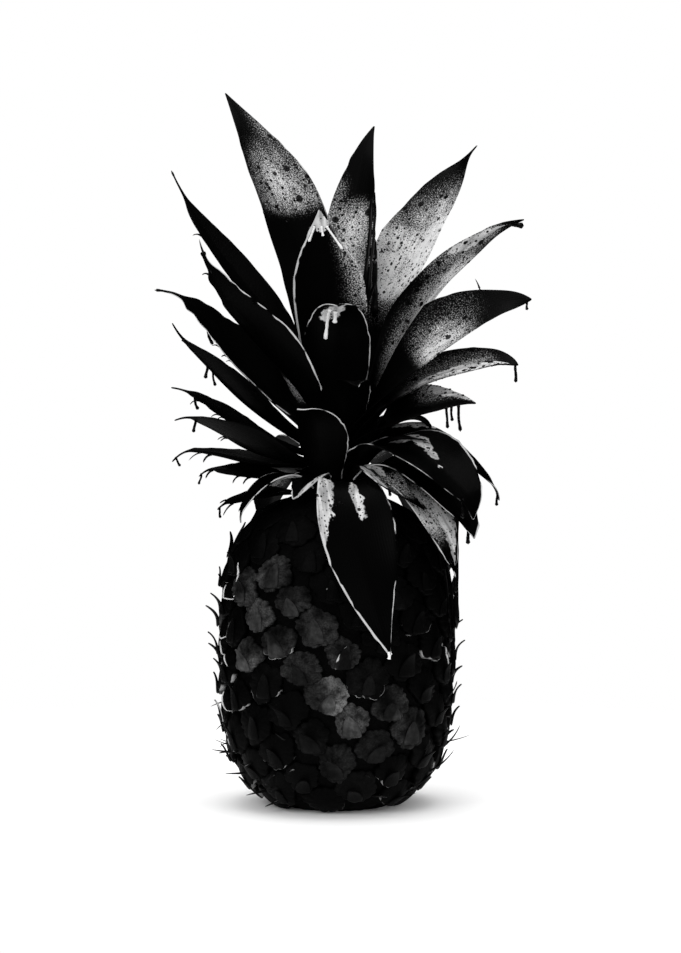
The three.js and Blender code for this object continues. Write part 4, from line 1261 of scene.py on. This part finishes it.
THREAD_STEPS = 14
THREAD_ROOT = 0.6  # of a thread's top above the middle of the leaf's thickness
RUN_STEPS = 24  # along a leaf
SIDE_RUN_STEPS = 40
SIDE_RUN_RADIUS = 1.3
SIDE_RUN_OUT = 1.9  # of its middle off the fruit's side
PALE_LIFT = 0.8  # of a pale run's middle off the leaf's
LEAST_DROP = 0.35  # radius
DROP_HEIGHT = 0.55  # the most that a drop stands off the leaf
DROP_SUNK = 0.1  # how far its rim is sunk in the leaf
DROP_PROFILE = ((-0.6, 0.0), (0.0, 1.0), (0.5, 0.85), (0.85, 0.5), (1.0, 0.0))  # shares up and out
CHIP_STEPS = 12  # between two stops of a chipped line
CHIP_RADIUS = 0.55
TAPERED = -0.9  # flare of a run that starts thin


def bead(points, radius, dice, flared=0.7):
    """Radii along a run that set as it flowed: uneven, fuller at its end, and flared or thin at its top."""
    radii = []
    last = len(points) - 1
    for i in range(last + 1):
        u = i / last
        flare = flared * radius * math.exp(-u / 0.07)
        swell = 0.35 * radius * math.exp(-(((u - 0.9) / 0.12) ** 2))
        close = math.sqrt(max(0.0, 1 - max(0.0, (u - 0.93) / 0.07) ** 2))
        uneven = radius * dice.uniform(0.8, 1.0)
        radii.append(0.0 if i in (0, last) else (uneven + flare + swell) * close * MM)
    return radii


def run_along(blade, path, lift):
    """Points along a leaf's face, spread evenly over the (share along, share across) stops of path."""
    return [blade.spot(*along_stops(path, share), lift) for share in np.linspace(0, 1, RUN_STEPS + 1)]


def hanging_thread(blade, along, across, length, drift):
    """Points down a thread of paint that hangs from a leaf, drifting to the right as it goes."""
    top = blade.spot(along, across) + UP * THREAD_ROOT * MM
    points = []
    for i in range(THREAD_STEPS + 1):
        u = i / THREAD_STEPS
        sway = 0.25 * math.sin(7 * u + length)
        points.append(top + Vector((drift * u * u + sway * u, 0, -length * u)) * MM)
    return points


def paint_runs(barrel, blades, material):
    """Lacquer that ran: threads hanging from some leaves, and runs down the leaves and the fruit."""
    bm = bmesh.new()
    dice = random.Random("runs")
    for name, along, across, length, drift, radius in HANGING_RUNS:
        points = hanging_thread(blades[name], along, across, length, drift)
        lay_tube(bm, points, bead(points, radius, dice))
    for name, path, radius, lift in LEAF_RUNS:
        points = run_along(blades[name], path, lift)
        lay_tube(bm, points, bead(points, radius, dice, flared=TAPERED), flatness=0.7)
    for azimuth, high, low in SIDE_RUNS:
        phase = dice.uniform(0, 6)
        points = []
        for i in range(SIDE_RUN_STEPS + 1):
            length = barrel.length_at(mix(high, low, i / SIDE_RUN_STEPS))
            around = math.radians(azimuth + 0.8 * math.sin(phase + i / 7))
            points.append(barrel.spot(length, around, SIDE_RUN_OUT) * MM)
        lay_tube(bm, points, bead(points, SIDE_RUN_RADIUS, dice, flared=TAPERED))
    finished(bm, "paint_runs", material)


def pale_runs(blades, material):
    """Pale paint that ran down two bent leaves in front, and off the tip of the hanging one."""
    bm = bmesh.new()
    dice = random.Random("pale")
    for name, path, radius in PALE_RUNS:
        points = run_along(blades[name], path, PALE_LIFT)
        lay_tube(bm, points, bead(points, radius, dice), flatness=0.7)
    name, along, across, length, drift, radius = PALE_THREAD
    points = hanging_thread(blades[name], along, across, length, drift)
    lay_tube(bm, points, bead(points, radius, dice, flared=0.2))
    finished(bm, "pale_runs", material)


def drops(blades, material):
    """Low round drops of lacquer, spattered on both faces of the leaves."""
    bm = bmesh.new()
    dice = random.Random("drops")
    for name, low, high, left, right, count, largest in DROPS:
        blade = blades[name]
        for _ in range(count):
            u = dice.uniform(low, high)
            share = dice.uniform(left, right)
            radius = mix(LEAST_DROP, largest, dice.random() ** 1.8)
            ahead = blade.spot(u + 0.01, share) - blade.spot(u - 0.01, share)
            beside = blade.spot(u, share + 0.05) - blade.spot(u, share - 0.05)
            off = ahead.cross(beside).normalized() * dice.choice((-1, 1))
            to_face = BASE_THICKNESS / 2 * thickness_at(u, share) - DROP_SUNK
            face = blade.spot(u, share) + off * to_face * MM
            tall = min(DROP_HEIGHT, radius) * MM
            points = [face + off * tall * height for height, _ in DROP_PROFILE]
            lay_tube(bm, points, [radius * wide * MM for _, wide in DROP_PROFILE])
    finished(bm, "drops", material)


def chipped_lines(surfaces, material):
    """Pale rind laid bare in thin curved lines where the paint chipped off, lying on the surfaces given."""
    trees = []
    for piece in surfaces:
        corners = [v.co for v in piece.data.vertices]
        trees.append(BVHTree.FromPolygons(corners, [face.vertices for face in piece.data.polygons]))
    bm = bmesh.new()
    for line in CHIPPED_LINES:
        points = []
        radii = []
        steps = CHIP_STEPS * (len(line) - 1)
        for i in range(steps + 1):
            azimuth, height = along_stops(line, i / steps)
            out = turned(math.radians(azimuth))
            start = (out * 2 * FRUIT_RADIUS + UP * height) * MM
            hits = [tree.ray_cast(start, -out)[0] for tree in trees]
            points.append(max((hit for hit in hits if hit), key=out.dot) + out * 0.15 * MM)
            wide = CHIP_RADIUS * math.sin(math.pi * i / steps) ** 0.5
            radii.append(0.0 if i in (0, steps) else wide * MM)
        lay_tube(bm, points, radii, flatness=0.6, sides=6)
    finished(bm, "chipped_lines", material)


# ---- studio ----

SENSOR = 36  # millimetres
CAMERA_DISTANCE = 1.5  # metres, as are the rest here
CAMERA_RISE = 3  # degrees
CAMERA_TARGET = Vector((2.3, 0, 167.5)) * MM
SEEN_HEIGHT = 953 * 0.51 * MM  # of the frame, at the fruit's axis
LIT_POINT = Vector((0, 0, 0.18))
FLOOR_RADIUS = 0.5


def look_at(thing, target):
    """Turns a camera or a light towards a point."""
    thing.rotation_mode = "QUATERNION"
    thing.rotation_quaternion = (target - thing.location).to_track_quat("-Z", "Y")


def camera():
    """A long lens at the height of the crown's foot, far enough off to flatten the fruit's depth."""
    data = bpy.data.cameras.new("camera")
    data.sensor_width = SENSOR
    data.lens = SENSOR * CAMERA_DISTANCE / SEEN_HEIGHT
    made = placed("camera", data)
    rise = math.radians(CAMERA_RISE)
    made.location = CAMERA_TARGET + Vector((0, -math.cos(rise), math.sin(rise))) * CAMERA_DISTANCE
    look_at(made, CAMERA_TARGET)
    bpy.context.scene.camera = made


def softbox(name, place, side, power):
    """A square soft light of this side in metres, turned to the fruit."""
    data = bpy.data.lights.new(name, "AREA")
    data.shape = "RECTANGLE"
    data.size = side
    data.size_y = side
    data.energy = power
    made = placed(name, data)
    made.location = place
    look_at(made, LIT_POINT)


def studio():
    """A white surround, three soft boxes, and a pale floor that fades into the surround."""
    world = bpy.data.worlds.new("studio")
    bpy.context.scene.world = world
    world.use_nodes = True
    world.node_tree.nodes.clear()
    white = node(world.node_tree, "Background", {"Color": linear("#ffffff"), "Strength": 1.0})
    node(world.node_tree, "OutputWorld", {"Surface": white})
    world.cycles_visibility.glossy = False  # black flags keep the surround out of the lacquer's gloss
    bpy.context.scene.view_settings.view_transform = "Standard"

    softbox("key", (-0.8, -1.3, 1.0), 1.0, 9)
    softbox("fill", (1.3, -0.9, 0.6), 0.9, 3)
    softbox("top", (0, 0.1, 1.4), 1.2, 12)

    bm = bmesh.new()
    bmesh.ops.create_circle(bm, cap_ends=True, segments=96, radius=FLOOR_RADIUS)
    surfaced(bm, "floor", studio_floor())


def main():
    studio()
    camera()
    barrel = Barrel()
    eyes = all_eyes(barrel)
    on_leaf = lacquered_leaf()
    on_bract = lacquered_bract()
    in_groove = lacquered_groove()
    skin = rind(barrel, eyes, in_groove)
    faces = eye_faces(eyes, lacquered_eye())
    bracts(eyes, on_bract)
    basal_bracts(on_bract)
    leaves = all_leaves()
    blades = {leaf.name: Blade(leaf, level) for level, leaf in enumerate(leaves)}
    for blade in blades.values():
        leaf_piece(blade, on_leaf)
    splinters(blades, on_leaf)
    crown_stem(leaves, in_groove)
    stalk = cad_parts["cut_stalk"]
    stalk.data.materials.clear()
    stalk.data.materials.append(cut_fibre())
    black_run = gloss_lacquer("set_black_lacquer_run", "#020202", "#060606", 0.12)
    paint_runs(barrel, blades, black_run)
    drops(blades, black_run)
    pale_runs(blades, gloss_lacquer("set_pale_paint_run", "#d0d0d0", "#f2f2f2", 0.5))
    chipped_lines((skin, faces), bare_rind())


main()
